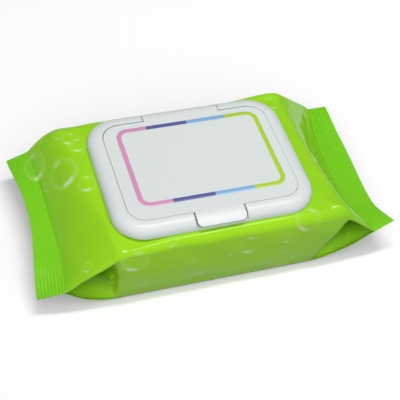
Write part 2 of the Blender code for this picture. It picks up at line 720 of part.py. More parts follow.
def main():
    for old in list(bpy.data.objects):
        bpy.data.objects.remove(old)
    build_pouch()
    cap = make_empty("cap_place", location=(CAP_OFFSET, 0, PACK_HEIGHT))
    build_frame(cap)
    build_peel_seal(cap)
    hinge = make_empty("lid_hinge", cap, (0, HINGE_Y, HINGE_HEIGHT))
    build_lid(hinge)
    build_label(hinge)


main()
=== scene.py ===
"""Wet wipes pack: the finished film, cap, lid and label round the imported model.

Metres, +Z up, in the model's own frame: +X runs along the pack, and the hinge is at its +Y side.
Every piece is a surface worked out with numpy, with its place in its mesh.
"""

import math
from dataclasses import dataclass
from functools import partial

import bmesh
import bpy
import numpy as np
from bpy.props import FloatProperty, FloatVectorProperty, PointerProperty
from mathutils import Matrix, Vector


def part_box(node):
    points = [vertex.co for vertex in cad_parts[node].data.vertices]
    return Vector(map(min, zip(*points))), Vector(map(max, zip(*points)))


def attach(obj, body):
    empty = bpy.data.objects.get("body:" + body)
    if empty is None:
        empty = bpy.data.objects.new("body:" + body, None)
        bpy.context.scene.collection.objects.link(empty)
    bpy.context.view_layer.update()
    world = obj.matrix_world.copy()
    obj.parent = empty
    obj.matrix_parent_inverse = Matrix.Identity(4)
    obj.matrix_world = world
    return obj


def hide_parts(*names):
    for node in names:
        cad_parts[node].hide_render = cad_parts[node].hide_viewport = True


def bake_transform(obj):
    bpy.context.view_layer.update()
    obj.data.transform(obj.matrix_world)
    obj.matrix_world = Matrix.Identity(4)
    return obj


bl_info = {
    "name": "Wet Wipes Pack",
    "version": (1, 0, 0),
    "blender": (4, 5, 0),
    "location": "View3D > Sidebar > Wipes Pack",
    "description": "Film pack of wet wipes with a hinged dispensing cap",
    "category": "Add Mesh",
}

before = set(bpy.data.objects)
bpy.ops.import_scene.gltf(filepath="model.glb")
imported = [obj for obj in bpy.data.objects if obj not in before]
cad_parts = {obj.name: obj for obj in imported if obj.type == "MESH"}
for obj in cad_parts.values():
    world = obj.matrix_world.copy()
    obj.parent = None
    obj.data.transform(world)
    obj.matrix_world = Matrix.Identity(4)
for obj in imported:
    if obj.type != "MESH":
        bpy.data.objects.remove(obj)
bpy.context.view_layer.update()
film_low, film_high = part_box("pouch")
cap_low, cap_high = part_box("cap_frame")

MM = 0.001
MERGE_DISTANCE = 0.0001 * MM
SAME_PLACE = 0.001 * MM

# Film pack, and its gap to the cap
SEAT_GAP = 0.3 * MM
PACK_LENGTH = film_high.x - film_low.x
PACK_WIDTH = film_high.y - film_low.y
PACK_HEIGHT = cap_low.z - SEAT_GAP
TOP_DRAW_IN = 1 * MM
BOTTOM_DRAW_IN = 0.6 * MM
BACK_EDGE_RADIUS = 5 * MM
BOTTOM_EDGE_RADIUS = 2.4 * MM
FLAP_EDGE_HEIGHT = 1.2 * MM
EDGE_SHARE = 0.36
TUCK_ROUNDNESS = 1.25
TUCK_CLOSING = 0.08
TUCK_TURN = 0.11
FRONT_LEAN = 0.5 * MM
FRONT_FOOT_LEAN = 1.1 * MM
CORNER_DROP = 2.4 * MM
CORNER_DROP_POWER = 1.3
SEAL_EDGE_ROUND = 1.5 * MM
SEAL_TAPER = 1.8 * MM
EAR_WIDTH = 18 * MM
BACK_SEAM_WIDTH = 12.5 * MM
BACK_SEAM_GROOVE = 0.25 * MM
BACK_SEAM_SOFTNESS = 0.35 * MM
PUFF_PLACE = (44 * MM, 42 * MM)
PUFF_REACH = (26 * MM, 7.2 * MM)
PUFF_HEIGHT = 3.5 * MM
PLEAT_WIDTH = 5.5 * MM
PLEAT_BEND = (2.2 * MM, 9 * MM)
PLEAT_SLANT = 0.15
PLEAT_UNEVENNESS = (0.4, 6.1 * MM)

# The loose film's waves: direction in radians, share of the frequency, and phase
WAVE_TRAINS = ((0.3, 1.0, 0.4), (1.4, 1.37, 2.1), (2.6, 0.83, 4.4), (0.9, 1.81, 5.2))

# Ribs across each seal, drawn coarser than the real jaws' ones so that they show
CRIMP_RIBS = 8

# Where the film's forms fade in: the start, and the distance until they are whole
ROUNDING_FROM_CAP = (-1 * MM, 4 * MM)
LOOSE_FROM_CAP = (1 * MM, 6 * MM)
LOOSE_FROM_FLOOR = (1.5 * MM, 4 * MM)
LEAN_TO_FRONT = (27 * MM, 13 * MM)
DROP_TO_FRONT = (25 * MM, 15 * MM)
DROP_TO_LEFT = (18 * MM, 30 * MM)

# In shares of the flap: where waves and creases begin to end before the seal, where the pleats
# and the seal's green begin, and how soon after the fold a tuck has its painted shade
LOOSE_END = 0.3
PLEATS_START = 2 / 7
SEAL_GREEN_START = 0.8
TUCK_SHADE_RUN = 0.25

# The seal's green grows at these rates over the flap and over the seal
SEAL_GREEN_RATES = (3, 5)

# The painted shade inside a tuck is narrower below the fold by this
UNDERSIDE_NARROWER = 1.4

# Cap; heights are measured from the film's top
CAP_OFFSET = (cap_low.x + cap_high.x) / 2
CAP_HALF = ((cap_high.x - cap_low.x) / 2, (cap_high.y - cap_low.y) / 2)
CAP_CORNER_RADIUS = 14.5 * MM
CAP_TOP = 5.4 * MM
RIM_LENGTHWISE = 7 * MM
RIM_CROSSWISE = 6.4 * MM
RIM_ROUNDNESS = 2.4
RIM_WALL = 1.2 * MM
RIM_STRAIGHT = (30 * MM, 20 * MM)
WELL_CORNER_RADIUS = 8.4 * MM
FLOOR_THICKNESS = 1.2 * MM
OPENING_HALF = (28 * MM, 15 * MM)
OPENING_CORNER_RADIUS = 14.4 * MM
COLLAR_WALL = 1.1 * MM
COLLAR_HEIGHT = 1.6 * MM
FRONT_SILL_HEIGHT = 1.7 * MM
BEAD_HALF_LENGTH = 7 * MM
BEAD_DEPTH = 0.35 * MM
BEAD_CENTRE_DROP = 0.3 * MM
BEAD_SOFTNESS = 0.25 * MM
SMALL_ROUND = 0.3 * MM
FLOOR_FILLET = 0.5 * MM

# Lid
LID_THICKNESS = 1.3 * MM
LID_GAP = 0.14 * MM
LID_BACK_GAP = 0.75 * MM
FRONT_TAB_HALF = 11 * MM
FRONT_TAB_OVERHANG = 0.9 * MM
FRONT_TAB_DROOP = 1.8 * MM
FRONT_TAB_CORNER = 2.3 * MM
FRONT_TAB_CURVE = 1.8
FRONT_NOTCH_GAP = 0.7 * MM
HINGE_TAB_HALF = 18 * MM
HINGE_NOTCH_GAP = 0.35 * MM
HINGE_HEIGHT = 1.75 * MM
HINGE_LEDGE_DROP = 0.35 * MM
HINGE_TAB_END = 1.9 * MM
WEB_THICKNESS = 0.35 * MM
WEB_OVERLAP = 0.1 * MM
WEB_SIDE_GAP = 0.4 * MM
SEAL_RIB_THICKNESS = 1 * MM
SEAL_RIB_DROP = 2.1 * MM
CATCH_THICKNESS = 0.9 * MM
CATCH_DROP = 2 * MM
CATCH_CLEARANCE = 0.15 * MM
CATCH_NOSE_HEIGHTS = (1.0 * MM, 0.75 * MM, 0.25 * MM)
TAB_JOIN = 0.05 * MM
ROOT = 0.3 * MM

# Dish in the film under the opening, and the peel film that lies in it
DISH_MARGIN = 1.8 * MM
DISH_DEPTH = 1.2 * MM
DISH_SLOPE = 3.2 * MM
PEEL_FILM_MARGINS = (7 * MM, 4.5 * MM)
PEEL_FILM_CORNER = 5 * MM
PEEL_FILM_THICKNESS = 0.15 * MM
PULL_TAB_LENGTH = 4.5 * MM
PULL_TAB_HALF = 4.5 * MM
PULL_TAB_BEND = 2 * MM
PEEL_FILM_SINK = 0.05 * MM
PEEL_FILM_RIPPLE = (0.06 * MM, 14 * MM)

# Sticker on the lid: its margins to the lid's left, right, front and back edges
STICKER_MARGINS = (5.9 * MM, 4.2 * MM, 6.9 * MM, 3.2 * MM)
STICKER_CORNER_RADIUS = 5.5 * MM
STICKER_THICKNESS = 0.08 * MM
STICKER_EDGE_ROUND = 0.03 * MM
STICKER_SINK = 0.02 * MM
STRIPE_SPLITS = (-18.2 * MM, 1.0 * MM, 19.2 * MM)

# Points of the cap's path: a notch's edge, its floor, its outer side, a corner, and a side
EDGE_STOPS = 6
NOTCH_STOPS = 9
RIM_STOPS = 12
CORNER_STOPS = 25
SIDE_STOPS = 11

# Points of the lid's lattice: rows of the front tab, a corner, the flat and the hinge tab, and
# columns of the front tab, from there to the hinge tab's side, and to the lid's side
TAB_ROWS = 19
CORNER_ROWS = 15
FLAT_ROWS = 40
HINGE_ROWS = 24
TAB_COLUMNS = 12
HINGE_COLUMNS = 8
PANEL_COLUMNS = 19
WEB_ROWS = 15

# Derived places in the cap, from its own centre
WELL_HALF = (CAP_HALF[0] - RIM_LENGTHWISE, CAP_HALF[1] - RIM_CROSSWISE)
RIM_HEIGHT = CAP_TOP - SEAT_GAP
FLOOR_TOP = SEAT_GAP + FLOOR_THICKNESS
LID_UNDERSIDE = CAP_TOP - LID_THICKNESS
LID_HALF_LENGTH = WELL_HALF[0] - LID_GAP
LID_FRONT = -(WELL_HALF[1] - LID_GAP)
LID_BACK = WELL_HALF[1] - LID_BACK_GAP
LID_CORNER_RADIUS = WELL_CORNER_RADIUS - LID_GAP
BEAD_TOP = LID_UNDERSIDE - 2 * SEAT_GAP
CAP_PLACE = np.array([CAP_OFFSET, 0, PACK_HEIGHT])


def srgb(hex_colour):
    """Linear RGBA of an sRGB hex colour."""
    channels = [int(hex_colour[i:i + 2], 16) / 255 for i in (1, 3, 5)]
    return (*[c / 12.92 if c <= 0.04045 else ((c + 0.055) / 1.055) ** 2.4 for c in channels], 1.0)


def size_property(name, description, millimetres):
    return FloatProperty(name=name, description=description, default=millimetres * MM,
                         min=0, unit="LENGTH", precision=5)


def colour_property(name, description, hex_colour):
    return FloatVectorProperty(name=name, description=description, default=srgb(hex_colour),
                               size=4, min=0, max=1, subtype="COLOR")


class WIPES_PG_film(bpy.types.PropertyGroup):
    """Sizes and colours of the printed film."""

    seal_thickness: size_property("Seal thickness", "Thickness of the films pressed together", 0.5)
    crimp_depth: size_property("Crimp depth", "Height of the ribs that the sealing jaws press in", 0.3)
    wave_height: size_property("Wave height", "Unevenness of the loose film", 0.4)
    wave_length: size_property("Wave length", "Distance between the film's gentle waves", 26)
    pleat_height: size_property("Pleat height", "Height of the pleats that run out of the seals", 0.1)
    lime: colour_property("Lime", "Print colour round the cap", "#9EDA1E")
    leaf: colour_property("Leaf green", "Print colour towards the ends", "#90D224")
    seal: colour_property("Seal green", "Print colour of the seals", "#7ECD26")
    # Painted shade: this darker green stands for the shade deep inside the tucks; the print there is no
    # darker
    tuck: colour_property("Painted tuck shade", "Print colour deep inside the tucked sides", "#4F920A")
    bubble: colour_property("Bubble", "Tint of the printed bubbles' rings", "#C4E67E")
    glint: colour_property("Bubble glint", "Tint of the printed bubbles' bright marks", "#DDEFC4")


class WIPES_PG_cap(bpy.types.PropertyGroup):
    """Sizes and colours of the moulded cap and lid and of the peel film."""

    lid_edge_round: size_property("Lid edge", "Radius of the lid's edges", 0.25)
    notch_edge_round: size_property("Notch edge", "Radius of the rim's edges beside the tabs", 0.35)
    rim_edge_round: size_property("Rim edge", "Radius of the rim's inner edge", 0.3)
    plastic: colour_property("Plastic", "White of the moulded cap and lid", "#DDE4E3")
    peel_film: colour_property("Peel film", "Silver of the peel film", "#C9CED0")
    tab_lift: size_property("Tab lift", "Height that the peel film's pull tab stands up", 0.9)


class WIPES_PG_sticker(bpy.types.PropertyGroup):
    """Sizes and colours of the lid's sticker."""

    stripe_width: size_property("Stripe width", "Width of the printed stripe round the edge", 2.2)
    field: colour_property("Field", "White of the label's paper", "#DDE4E2")
    first: colour_property("First colour", "Stripe colour at the left end", "#D995BD")
    second: colour_property("Second colour", "Stripe colour left of the middle", "#5B5F9F")
    third: colour_property("Third colour", "Stripe colour right of the middle", "#86B6E0")
    fourth: colour_property("Fourth colour", "Stripe colour at the right end", "#B2D636")


class WIPES_PG_stage(bpy.types.PropertyGroup):
    """Sizes and colours of the floor and the lights."""

    floor_half: size_property("Floor half", "Half the width of the floor", 3000)
    lamp_height: size_property("Lamp height", "Height of the overhead soft lamp", 580)
    floor: colour_property("Floor", "Tone of the floor as it lights the pack from below", "#5C5C5A")
    backdrop: colour_property("Backdrop", "Tone of the floor as it is seen", "#F2F2F2")


def lerp(a, b, t):
    return a + (b - a) * t


def ease(t):
    """Smooth step from 0 to 1."""
    t = np.clip(t, 0, 1)
    return t * t * (3 - 2 * t)


def ramp(value, start, run):
    """Smooth step from 0 at the start to 1 a run further on."""
    return ease((value - start) / run)


def spread(values, q):
    """Smooth curve across the pack through even places from the front (q 0) to the back (q 1).

    It is Lagrange's polynomial, so the values may be arrays.
    """
    places = np.linspace(0, 1, len(values))
    total = 0
    for place, value in zip(places, values):
        share = 1
        for other in places[places != place]:
            share = share * (q - other) / (place - other)
        total = total + value * share
    return total


def rounded_distance(x, y, half, radius):
    """Distance from a rounded rectangle's outline, below 0 inside it."""
    dx = np.abs(x) - (half[0] - radius)
    dy = np.abs(y) - (half[1] - radius)
    outside = np.hypot(np.maximum(dx, 0), np.maximum(dy, 0))
    return outside + np.minimum(np.maximum(dx, dy), 0) - radius


def quarter(centre, radius, start, end, steps=4):
    """Points on an arc, angles in degrees."""
    angles = np.radians(np.linspace(start, end, steps + 1))
    return np.stack([centre[0] + radius * np.cos(angles), centre[1] + radius * np.sin(angles)], axis=1)


def on_level(outline_points, height):
    """Points in a plan at one height."""
    return np.column_stack([outline_points, np.full(len(outline_points), height)])


def raised(x, y, z):
    """Points from their places, of which y and z may be a column or a row for the whole grid."""
    return np.stack([x, np.broadcast_to(y, x.shape), np.broadcast_to(z, x.shape)], axis=2)


def make_piece(name, points, faces, material, body=None, attributes=(), sharp=None):
    """An object from arrays of points and faces, its doubles merged and its normals outwards.

    attributes holds (name, kind, domain, values) rows. Edges of more degrees than sharp are left
    sharp. An open sheet is turned to face upwards.
    """
    mesh = bpy.data.meshes.new(name)
    used, numbers = np.unique(faces, return_inverse=True)
    mesh.from_pydata(points.reshape(-1, 3)[used], [], numbers.reshape(faces.shape).tolist())
    for title, kind, domain, values in attributes:
        attribute = mesh.attributes.new(title, kind, domain)
        values = np.asarray(values, dtype=np.float32)
        if domain == "POINT":
            values = values.reshape(points.size // 3, -1)[used]
        field = {"FLOAT": "value", "FLOAT_VECTOR": "vector", "FLOAT_COLOR": "color"}[kind]
        attribute.data.foreach_set(field, values.ravel())
    builder = bmesh.new()
    builder.from_mesh(mesh)
    bmesh.ops.remove_doubles(builder, verts=builder.verts, dist=MERGE_DISTANCE)
    bmesh.ops.dissolve_degenerate(builder, edges=builder.edges, dist=MERGE_DISTANCE)
    bmesh.ops.recalc_face_normals(builder, faces=builder.faces)
    open_sheet = any(edge.is_boundary for edge in builder.edges)
    if open_sheet and sum(face.normal.z for face in builder.faces) < 0:
        bmesh.ops.reverse_faces(builder, faces=builder.faces)
    builder.to_mesh(mesh)
    builder.free()
    mesh.shade_smooth()
    if sharp:
        mesh.set_sharp_from_angle(angle=math.radians(sharp))
    mesh.materials.append(material)
    piece = bpy.data.objects.new(name, mesh)
    bpy.context.scene.collection.objects.link(piece)
    if body:
        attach(piece, body)
    return piece


def grid_faces(points, wrap_rows=False, wrap_columns=False):
    """Quads of a grid of points, which are numbered row by row."""
    rows, columns = points.shape[:2]
    r = np.arange(rows if wrap_rows else rows - 1)[:, None]
    c = np.arange(columns if wrap_columns else columns - 1)[None, :]
    next_r = (r + 1) % rows
    next_c = (c + 1) % columns
    corners = (r * columns + c, r * columns + next_c, next_r * columns + next_c, next_r * columns + c)
    return np.stack([np.broadcast_to(k, (r.size, c.size)) for k in corners], axis=2).reshape(-1, 4)


# Materials

# Most values of a noise texture lie between these
NOISE_SPAN = (0.3, 0.7)

# The film's print in millimetres: the middle of the lime field, where it turns to leaf green on
# either side, and how far and how evenly that border wanders
PRINT_MIDDLE = -5.0
PRINT_FADE = (38.0, 78.0)
PRINT_WANDER = 16.0
PRINT_CLOUD = 24
FILM_SHINE = 0.5
SEAL_SHINE = 0.2
SEAL_DULLNESS = 0.14

# A printed bubble's curves: name, what it follows (the distance from the centre over the radius,
# or how far a point faces the mark), start and end there, and its value before and after
BUBBLE_CURVES = (
    ("body", "away", 0.5, 0.97, 0.0, 0.75),
    ("rim", "away", 0.84, 0.96, "body", 1.0),
    ("ring", "away", 0.96, 1.09, "rim", 0.0),
    ("mark", "facing", 0.8, 1.0, 0.0, 0.75),
    ("far_mark", "facing", -0.9, -1.0, "mark", 0.35),
    ("inner", "away", 0.58, 0.8, 0.0, "far_mark"),
    ("stroke", "away", 0.82, 1.0, "inner", 0.0),
)
RING_LIGHT = (-0.6, 1.0, 0.14, 0.36)


def add_node(tree, kind, inputs=(), **settings):
    """A shader node with its settings. Its inputs are a tuple in the node's order, or a dict.

    Each is a value, or the socket or node that feeds it. The order of Map Range is the value,
    the range it comes from and the range it goes to. Mix has its factor at 0, numbers at 2 and 3
    and colours at 6 and 7.
    """
    node = tree.nodes.new("ShaderNode" + kind)
    for name, value in settings.items():
        setattr(node, name, value)
    for key, value in inputs.items() if isinstance(inputs, dict) else enumerate(inputs):
        if isinstance(value, bpy.types.Node):
            value = next(socket for socket in value.outputs if socket.enabled)
        if isinstance(value, bpy.types.NodeSocket):
            tree.links.new(value, node.inputs[key])
        else:
            node.inputs[key].default_value = value
    return node


def emptied(owner):
    """add_node for the emptied tree of a material or a world."""
    owner.use_nodes = True
    owner.node_tree.nodes.clear()
    return partial(add_node, owner.node_tree)


def new_material(name):
    """An empty material, the function that adds its nodes, and the object's coordinates."""
    material = bpy.data.materials.new(name)
    add = emptied(material)
    return material, add, add("TexCoord").outputs["Object"]


def finish_material(add, inputs):
    """The Principled shader and the output that end a material's tree."""
    add("OutputMaterial", {"Surface": add("BsdfPrincipled", inputs)})


def frequency(millimetres):
    """Scale of a texture on coordinates in metres whose features are that size."""
    return 1 / (millimetres * MM)


def fine_surface(add, coordinates, millimetres, roughness, relief, detail=2.0):
    """Noise of that size, the roughness that it varies, and the bump that it raises."""
    scale = frequency(millimetres)
    noise = add("TexNoise", {"Vector": coordinates, "Scale": scale, "Detail": detail})
    rough = add("MapRange", (noise, *NOISE_SPAN, *roughness))
    bump = add("Bump", {"Height": noise, "Distance": relief * MM})
    return noise, rough, bump


def print_bubbles(add, layer, colour, colours):
    """Print a layer of bubbles over a colour: pale rings, each with two soft bright marks.

    The layer's attribute holds the offset from the bubble's centre over its radius, turned so
    that the marks lie on the first axis, and the bubble's strength.
    """
    offset = add("Attribute", attribute_name=layer).outputs["Vector"]
    strength = add("SeparateXYZ", (offset,)).outputs[2]
    flat = add("VectorMath", (offset, (1, 1, 0)), operation="MULTIPLY")
    toward = add("VectorMath", (flat,), operation="NORMALIZE")
    curves = {"away": add("VectorMath", (flat,), operation="LENGTH"),
              "facing": add("SeparateXYZ", (toward,)).outputs[0]}
    for name, follows, start, end, before, after in BUBBLE_CURVES:
        inputs = (curves[follows], start, end, curves.get(before, before), curves.get(after, after))
        curves[name] = add("MapRange", inputs, interpolation_type="SMOOTHSTEP")
    lit = add("MapRange", (curves["facing"], *RING_LIGHT))
    ring = add("Math", (curves["ring"], lit), operation="MULTIPLY")
    for part, tint in ((ring, colours.bubble), (curves["stroke"], colours.glint)):
        shown = add("Math", (part, strength), operation="MULTIPLY")
        colour = add("Mix", {0: shown, 6: colour, 7: tuple(tint)}, data_type="RGBA")
    return colour


def printed_film_material(colours):
    """Printed and laminated polypropylene film, as drawn over the pack and heat sealed.

    The laminate gives sharp highlights over gentle ripples. The print shades from lime to leaf
    green with pale bubbles. Deep inside the tucks the colour is darkened towards a deeper green,
    a painted shade for the little light that gets there. The heat of the jaws leaves the seals
    deeper green and duller, with weaker reflections. The refractive index is lower than the
    film's 1.49, because this studio is pale on every side.
    """
    material, add, coordinates = new_material("printed_polypropylene_film")
    place = add("Attribute", attribute_name="film_place").outputs["Vector"]
    along, _, seal = add("SeparateXYZ", (place,)).outputs
    # Share of painted shade inside the tucks
    tuck = add("Attribute", attribute_name="tuck_shade").outputs["Fac"]
    cloud = add("TexNoise", {"Vector": coordinates, "Scale": frequency(PRINT_CLOUD)})
    wander = add("Math", (cloud, PRINT_WANDER), operation="MULTIPLY")
    far = add("Math", (along, PRINT_MIDDLE), operation="SUBTRACT")
    far = add("Math", (far,), operation="ABSOLUTE")
    far = add("Math", (far, wander), operation="ADD")
    share = add("MapRange", (far, *PRINT_FADE), interpolation_type="SMOOTHSTEP")
    colour = tuple(colours.lime)
    for amount, tint in ((share, colours.leaf), (seal, colours.seal)):
        colour = add("Mix", {0: amount, 6: colour, 7: tuple(tint)}, data_type="RGBA")
    for layer in BUBBLES:
        colour = print_bubbles(add, layer, colour, colours)
    # Painted shade: deep inside the tucks the colour is mixed towards the darker tuck green
    colour = add("Mix", {0: tuck, 6: colour, 7: tuple(colours.tuck)}, data_type="RGBA")
    _, gloss, bump = fine_surface(add, coordinates, 3.5, (0.1, 0.15), 0.03, detail=3.0)
    dull = add("Math", (seal, SEAL_DULLNESS, gloss), operation="MULTIPLY_ADD")
    shine = add("MapRange", (seal, 0.0, 1.0, FILM_SHINE, SEAL_SHINE))
    finish_material(add, {"Base Color": colour, "Roughness": dull, "IOR": 1.31, "Normal": bump,
                          "Specular IOR Level": shine})
    return material


def moulded_plastic(name, colour):
    """Injection-moulded polypropylene: satin white, with a faint orange peel from the mould.

    The orange peel is drawn 0.7 mm across, coarser than the mould's grain, so that it shows.
    """
    material, add, coordinates = new_material(name)
    cloud = add("TexNoise", {"Vector": coordinates, "Scale": frequency(30)})
    shade = tuple(0.96 * value for value in colour)
    base = add("Mix", {0: cloud, 6: tuple(colour), 7: shade}, data_type="RGBA")
    _, satin, bump = fine_surface(add, coordinates, 0.7, (0.3, 0.4), 0.006)
    finish_material(add, {"Base Color": base, "Roughness": satin, "IOR": 1.49, "Normal": bump})
    return material


def label_paper():
    """Coated label paper: a soft sheen over faint fibres, with flat printed inks.

    The fibres are drawn 0.5 mm across, coarser than real ones, so that they show.
    """
    material, add, coordinates = new_material("coated_label_paper")
    ink = add("Attribute", attribute_name="ink").outputs["Color"]
    fibres, sheen, bump = fine_surface(add, coordinates, 0.5, (0.3, 0.38), 0.004, detail=4.0)
    grey = add("MapRange", (fibres, *NOISE_SPAN, 0.96, 1.0))
    colour = add("VectorMath", {0: ink, "Scale": grey}, operation="SCALE")
    finish_material(add, {"Base Color": colour, "Roughness": sheen, "IOR": 1.5, "Normal": bump})
    return material


def peel_film_material(colour):
    """Metallised polyester peel film: silvery, with a diagonal emboss.

    The emboss is drawn 3.07 mm apart, coarser than the real one, so that it shows. The texture
    repeats where 10 times its scale times x + y grows by a full turn.
    """
    material, add, coordinates = new_material("metallised_peel_film")
    scale = frequency(3.07) * 2 * math.pi / (10 * math.sqrt(2))
    emboss = add("TexWave", {"Vector": coordinates, "Scale": scale, "Distortion": 0.4},
                 bands_direction="DIAGONAL")
    cloud = add("TexNoise", {"Vector": coordinates, "Scale": frequency(6)})
    gloss = add("MapRange", (cloud, *NOISE_SPAN, 0.26, 0.36))
    bump = add("Bump", {"Height": emboss, "Distance": 0.01 * MM})
    finish_material(add, {"Base Color": tuple(colour), "Metallic": 0.35, "Roughness": gloss,
                          "Normal": bump})
    return material


def seen_ray(add):
    """1 for the rays that show a background: the camera's, glossy and transmission rays."""
    rays = add("LightPath").outputs
    seen = rays["Is Camera Ray"]
    for other in ("Is Glossy Ray", "Is Transmission Ray"):
        seen = add("Math", (seen, rays[other]), operation="MAXIMUM")
    return seen


def floor_material(colours):
    """Matt studio paper. It is seen paler than it lights the pack from below."""
    material, add, coordinates = new_material("matt_studio_paper")
    grain = add("TexNoise", {"Vector": coordinates, "Scale": frequency(60)})
    shade = tuple(0.98 * value for value in colours.floor)
    tone = add("Mix", {0: grain, 6: tuple(colours.floor), 7: shade}, data_type="RGBA")
    lighting = add("BsdfDiffuse", {"Color": tone})
    shown = add("BsdfDiffuse", {"Color": tuple(colours.backdrop)})
    glow = add("Emission", {"Strength": FLOOR_GLOW})
    shown = add("AddShader", (shown, glow))
    mixed = add("MixShader", (seen_ray(add), lighting, shown))
    add("OutputMaterial", {"Surface": mixed})
    return material


# Film pack


@dataclass(frozen=True)
class PackEnd:
    """One end of the film pack. Places along the pack are distances from the end's tip.

    Values are given at even places from the front to the back, in millimetres where they are
    sizes. A shoulder is the power of the flap's fall or rise.
    """

    side: int
    fold_top: tuple
    fold_bottom: tuple
    seal_start: tuple
    edge: tuple
    ear_lifts: tuple
    seal_heights: tuple
    top_shoulders: tuple
    bottom_shoulders: tuple
    rib_strength: tuple


LEFT_END = PackEnd(
    side=-1,
    fold_top=(35.5, 27.5),
    fold_bottom=(35.5, 31.5),
    seal_start=(11.2, 13.4, 13.3, 12.8, 10.8),
    edge=(0, 2.4, 4.6, 3.7, 1.2),
    ear_lifts=(-3.5, -1.8),
    seal_heights=(12.5, 15, 16.2),
    top_shoulders=(1.0, 1.5, 1.7),
    bottom_shoulders=(2.0, 2.3, 2.4),
    rib_strength=(1.0, 0.45, 0.3, 0.55, 1.0),
)
RIGHT_END = PackEnd(
    side=1,
    fold_top=(24.7, 31, 33),
    fold_bottom=(40.5, 37),
    seal_start=(9.5, 14.5, 15.4, 14, 11),
    edge=(0, 2.9, 2.1, 2, 3.6),
    ear_lifts=(3, 2),
    seal_heights=(15, 12.5, 16.2),
    top_shoulders=(1.05, 1.25, 1.4),
    bottom_shoulders=(1.7, 2.0, 2.2),
    rib_strength=(0.45, 0.25, 0.55, 1.0, 0.8),
)

# Radius of the top's front edge at even places from the left fold to the right fold
FRONT_EDGE_RADII = (1.8 * MM, 4.2 * MM, 4.6 * MM, 5.2 * MM)

# Points of the film's grid: sections along it, and points round each
SEAL_STATIONS = 52
FLAP_STATIONS = 50
BODY_STATIONS = 100
SIDE_POINTS = 23
EDGE_POINTS = 11
FLAT_POINTS = 80

# Sections on either side that round the folds, the times they are averaged, and the sections on
# either side that a normal is averaged over
FOLD_REACH = 9
FOLD_PASSES = 40
NORMAL_REACH = 9

# Creases in the film: start and end on the unrolled film, width and height, in millimetres
CREASES = (
    ((-51, -54), (-49.5, -71), 1.3, -0.6),
    ((-62, -63), (-50, -58), 1.2, 0.8),
    ((-60, -68), (-49, -64), 1.2, -0.5),
    ((-57, -67), (-50, -71), 1.2, 0.5),
    ((48, -31), (58, -40), 1.4, 0.5),
    ((73, 41), (67, 18), 2.4, -0.7),
    ((68, 22), (54, -3), 2.8, -0.5),
    ((60, 36), (50, 26), 2.0, 0.3),
    ((66, -52), (61, -63), 1.2, 0.8),
    ((70, -57), (63, -68), 1.2, 0.8),
    ((73, -61), (69, -68), 1.2, -0.6),
    ((-58, 40), (-70, 34), 1.8, -0.4),
    ((-48, 46), (-58, 60), 1.8, 0.5),
    ((49, 47), (57, 62), 1.8, 0.5),
)

# Printed bubbles on the unrolled film: place along it and round it and radius in millimetres,
# strength, and the direction of the bright mark in degrees. Near neighbours lie in different
# layers, and a layer shows nothing further out from a bubble's edge than BUBBLE_REACH millimetres.
BUBBLE_REACH = 1.6
BUBBLES = {
    "bubble_a": (
        (-61.5, 14.0, 7.8, 1.0, -74), (-53.6, 30.5, 3.6, 0.8, -118), (-63.3, -32.8, 2.0, 0.8, -117),
        (-40.9, -44.4, 6.3, 1.0, -109), (-36.9, -59.9, 3.9, 0.5, -92), (10.8, -47.9, 5.2, 0.9, -98),
        (27.6, -47.3, 3.0, 0.8, -88), (-46.0, 52.0, 6.0, 0.9, -100), (-8.0, 51.0, 7.0, 0.9, -110),
        (33.0, 49.0, 4.0, 0.8, -100), (-40.0, 94.0, 8.0, 0.8, -90), (36.0, 99.0, 6.0, 0.7, -90),
        (24.0, -84.0, 3.5, 0.7, -100),
    ),
    "bubble_b": (
        (-75.8, 26.9, 7.0, 0.9, -89), (-50.8, 25.9, 4.1, 0.8, -103), (-51.8, 3.1, 4.2, 0.9, -104),
        (-12.8, -56.9, 6.7, 0.5, -70), (1.9, -49.7, 2.9, 0.6, -83), (27.2, -62.4, 7.0, 0.45, -90),
        (38.0, -39.6, 6.0, 1.0, -126), (52.5, 17.0, 3.4, 0.4, -100), (-31.0, 61.0, 4.0, 0.6, -80),
        (14.0, 59.0, 5.0, 0.7, -90), (45.0, 61.0, 6.5, 0.7, -95), (6.0, -90.0, 7.5, 0.8, -95),
    ),
    "bubble_c": (
        (-57.8, 34.3, 2.9, 0.5, -120), (-72.8, 13.1, 2.1, 0.6, -154), (-24.6, -37.8, 2.7, 0.8, -89),
        (46.0, 33.5, 4.0, 0.5, -95), (64.0, -9.0, 5.0, 0.4, -80), (-18.0, -98.0, 5.0, 0.7, -80),
        (-55.0, -88.0, 6.0, 0.7, -90),
    ),
}


def fold_line(end, q, down):
    """X where the side film starts to tuck in, across the pack and down its side."""
    distance = lerp(spread(end.fold_top, q), spread(end.fold_bottom, q), down) * MM
    return end.side * (PACK_LENGTH / 2 - distance)


def puff(x, y):
    """Height of the soft bulge that the film makes beside the cap's back right corner."""
    along, across = (x - PUFF_PLACE[0]) / PUFF_REACH[0], (y - PUFF_PLACE[1]) / PUFF_REACH[1]
    return PUFF_HEIGHT * ease(1 - np.hypot(along, across))


def cap_distance(x, y):
    return rounded_distance(x - CAP_OFFSET, y, CAP_HALF, CAP_CORNER_RADIUS)


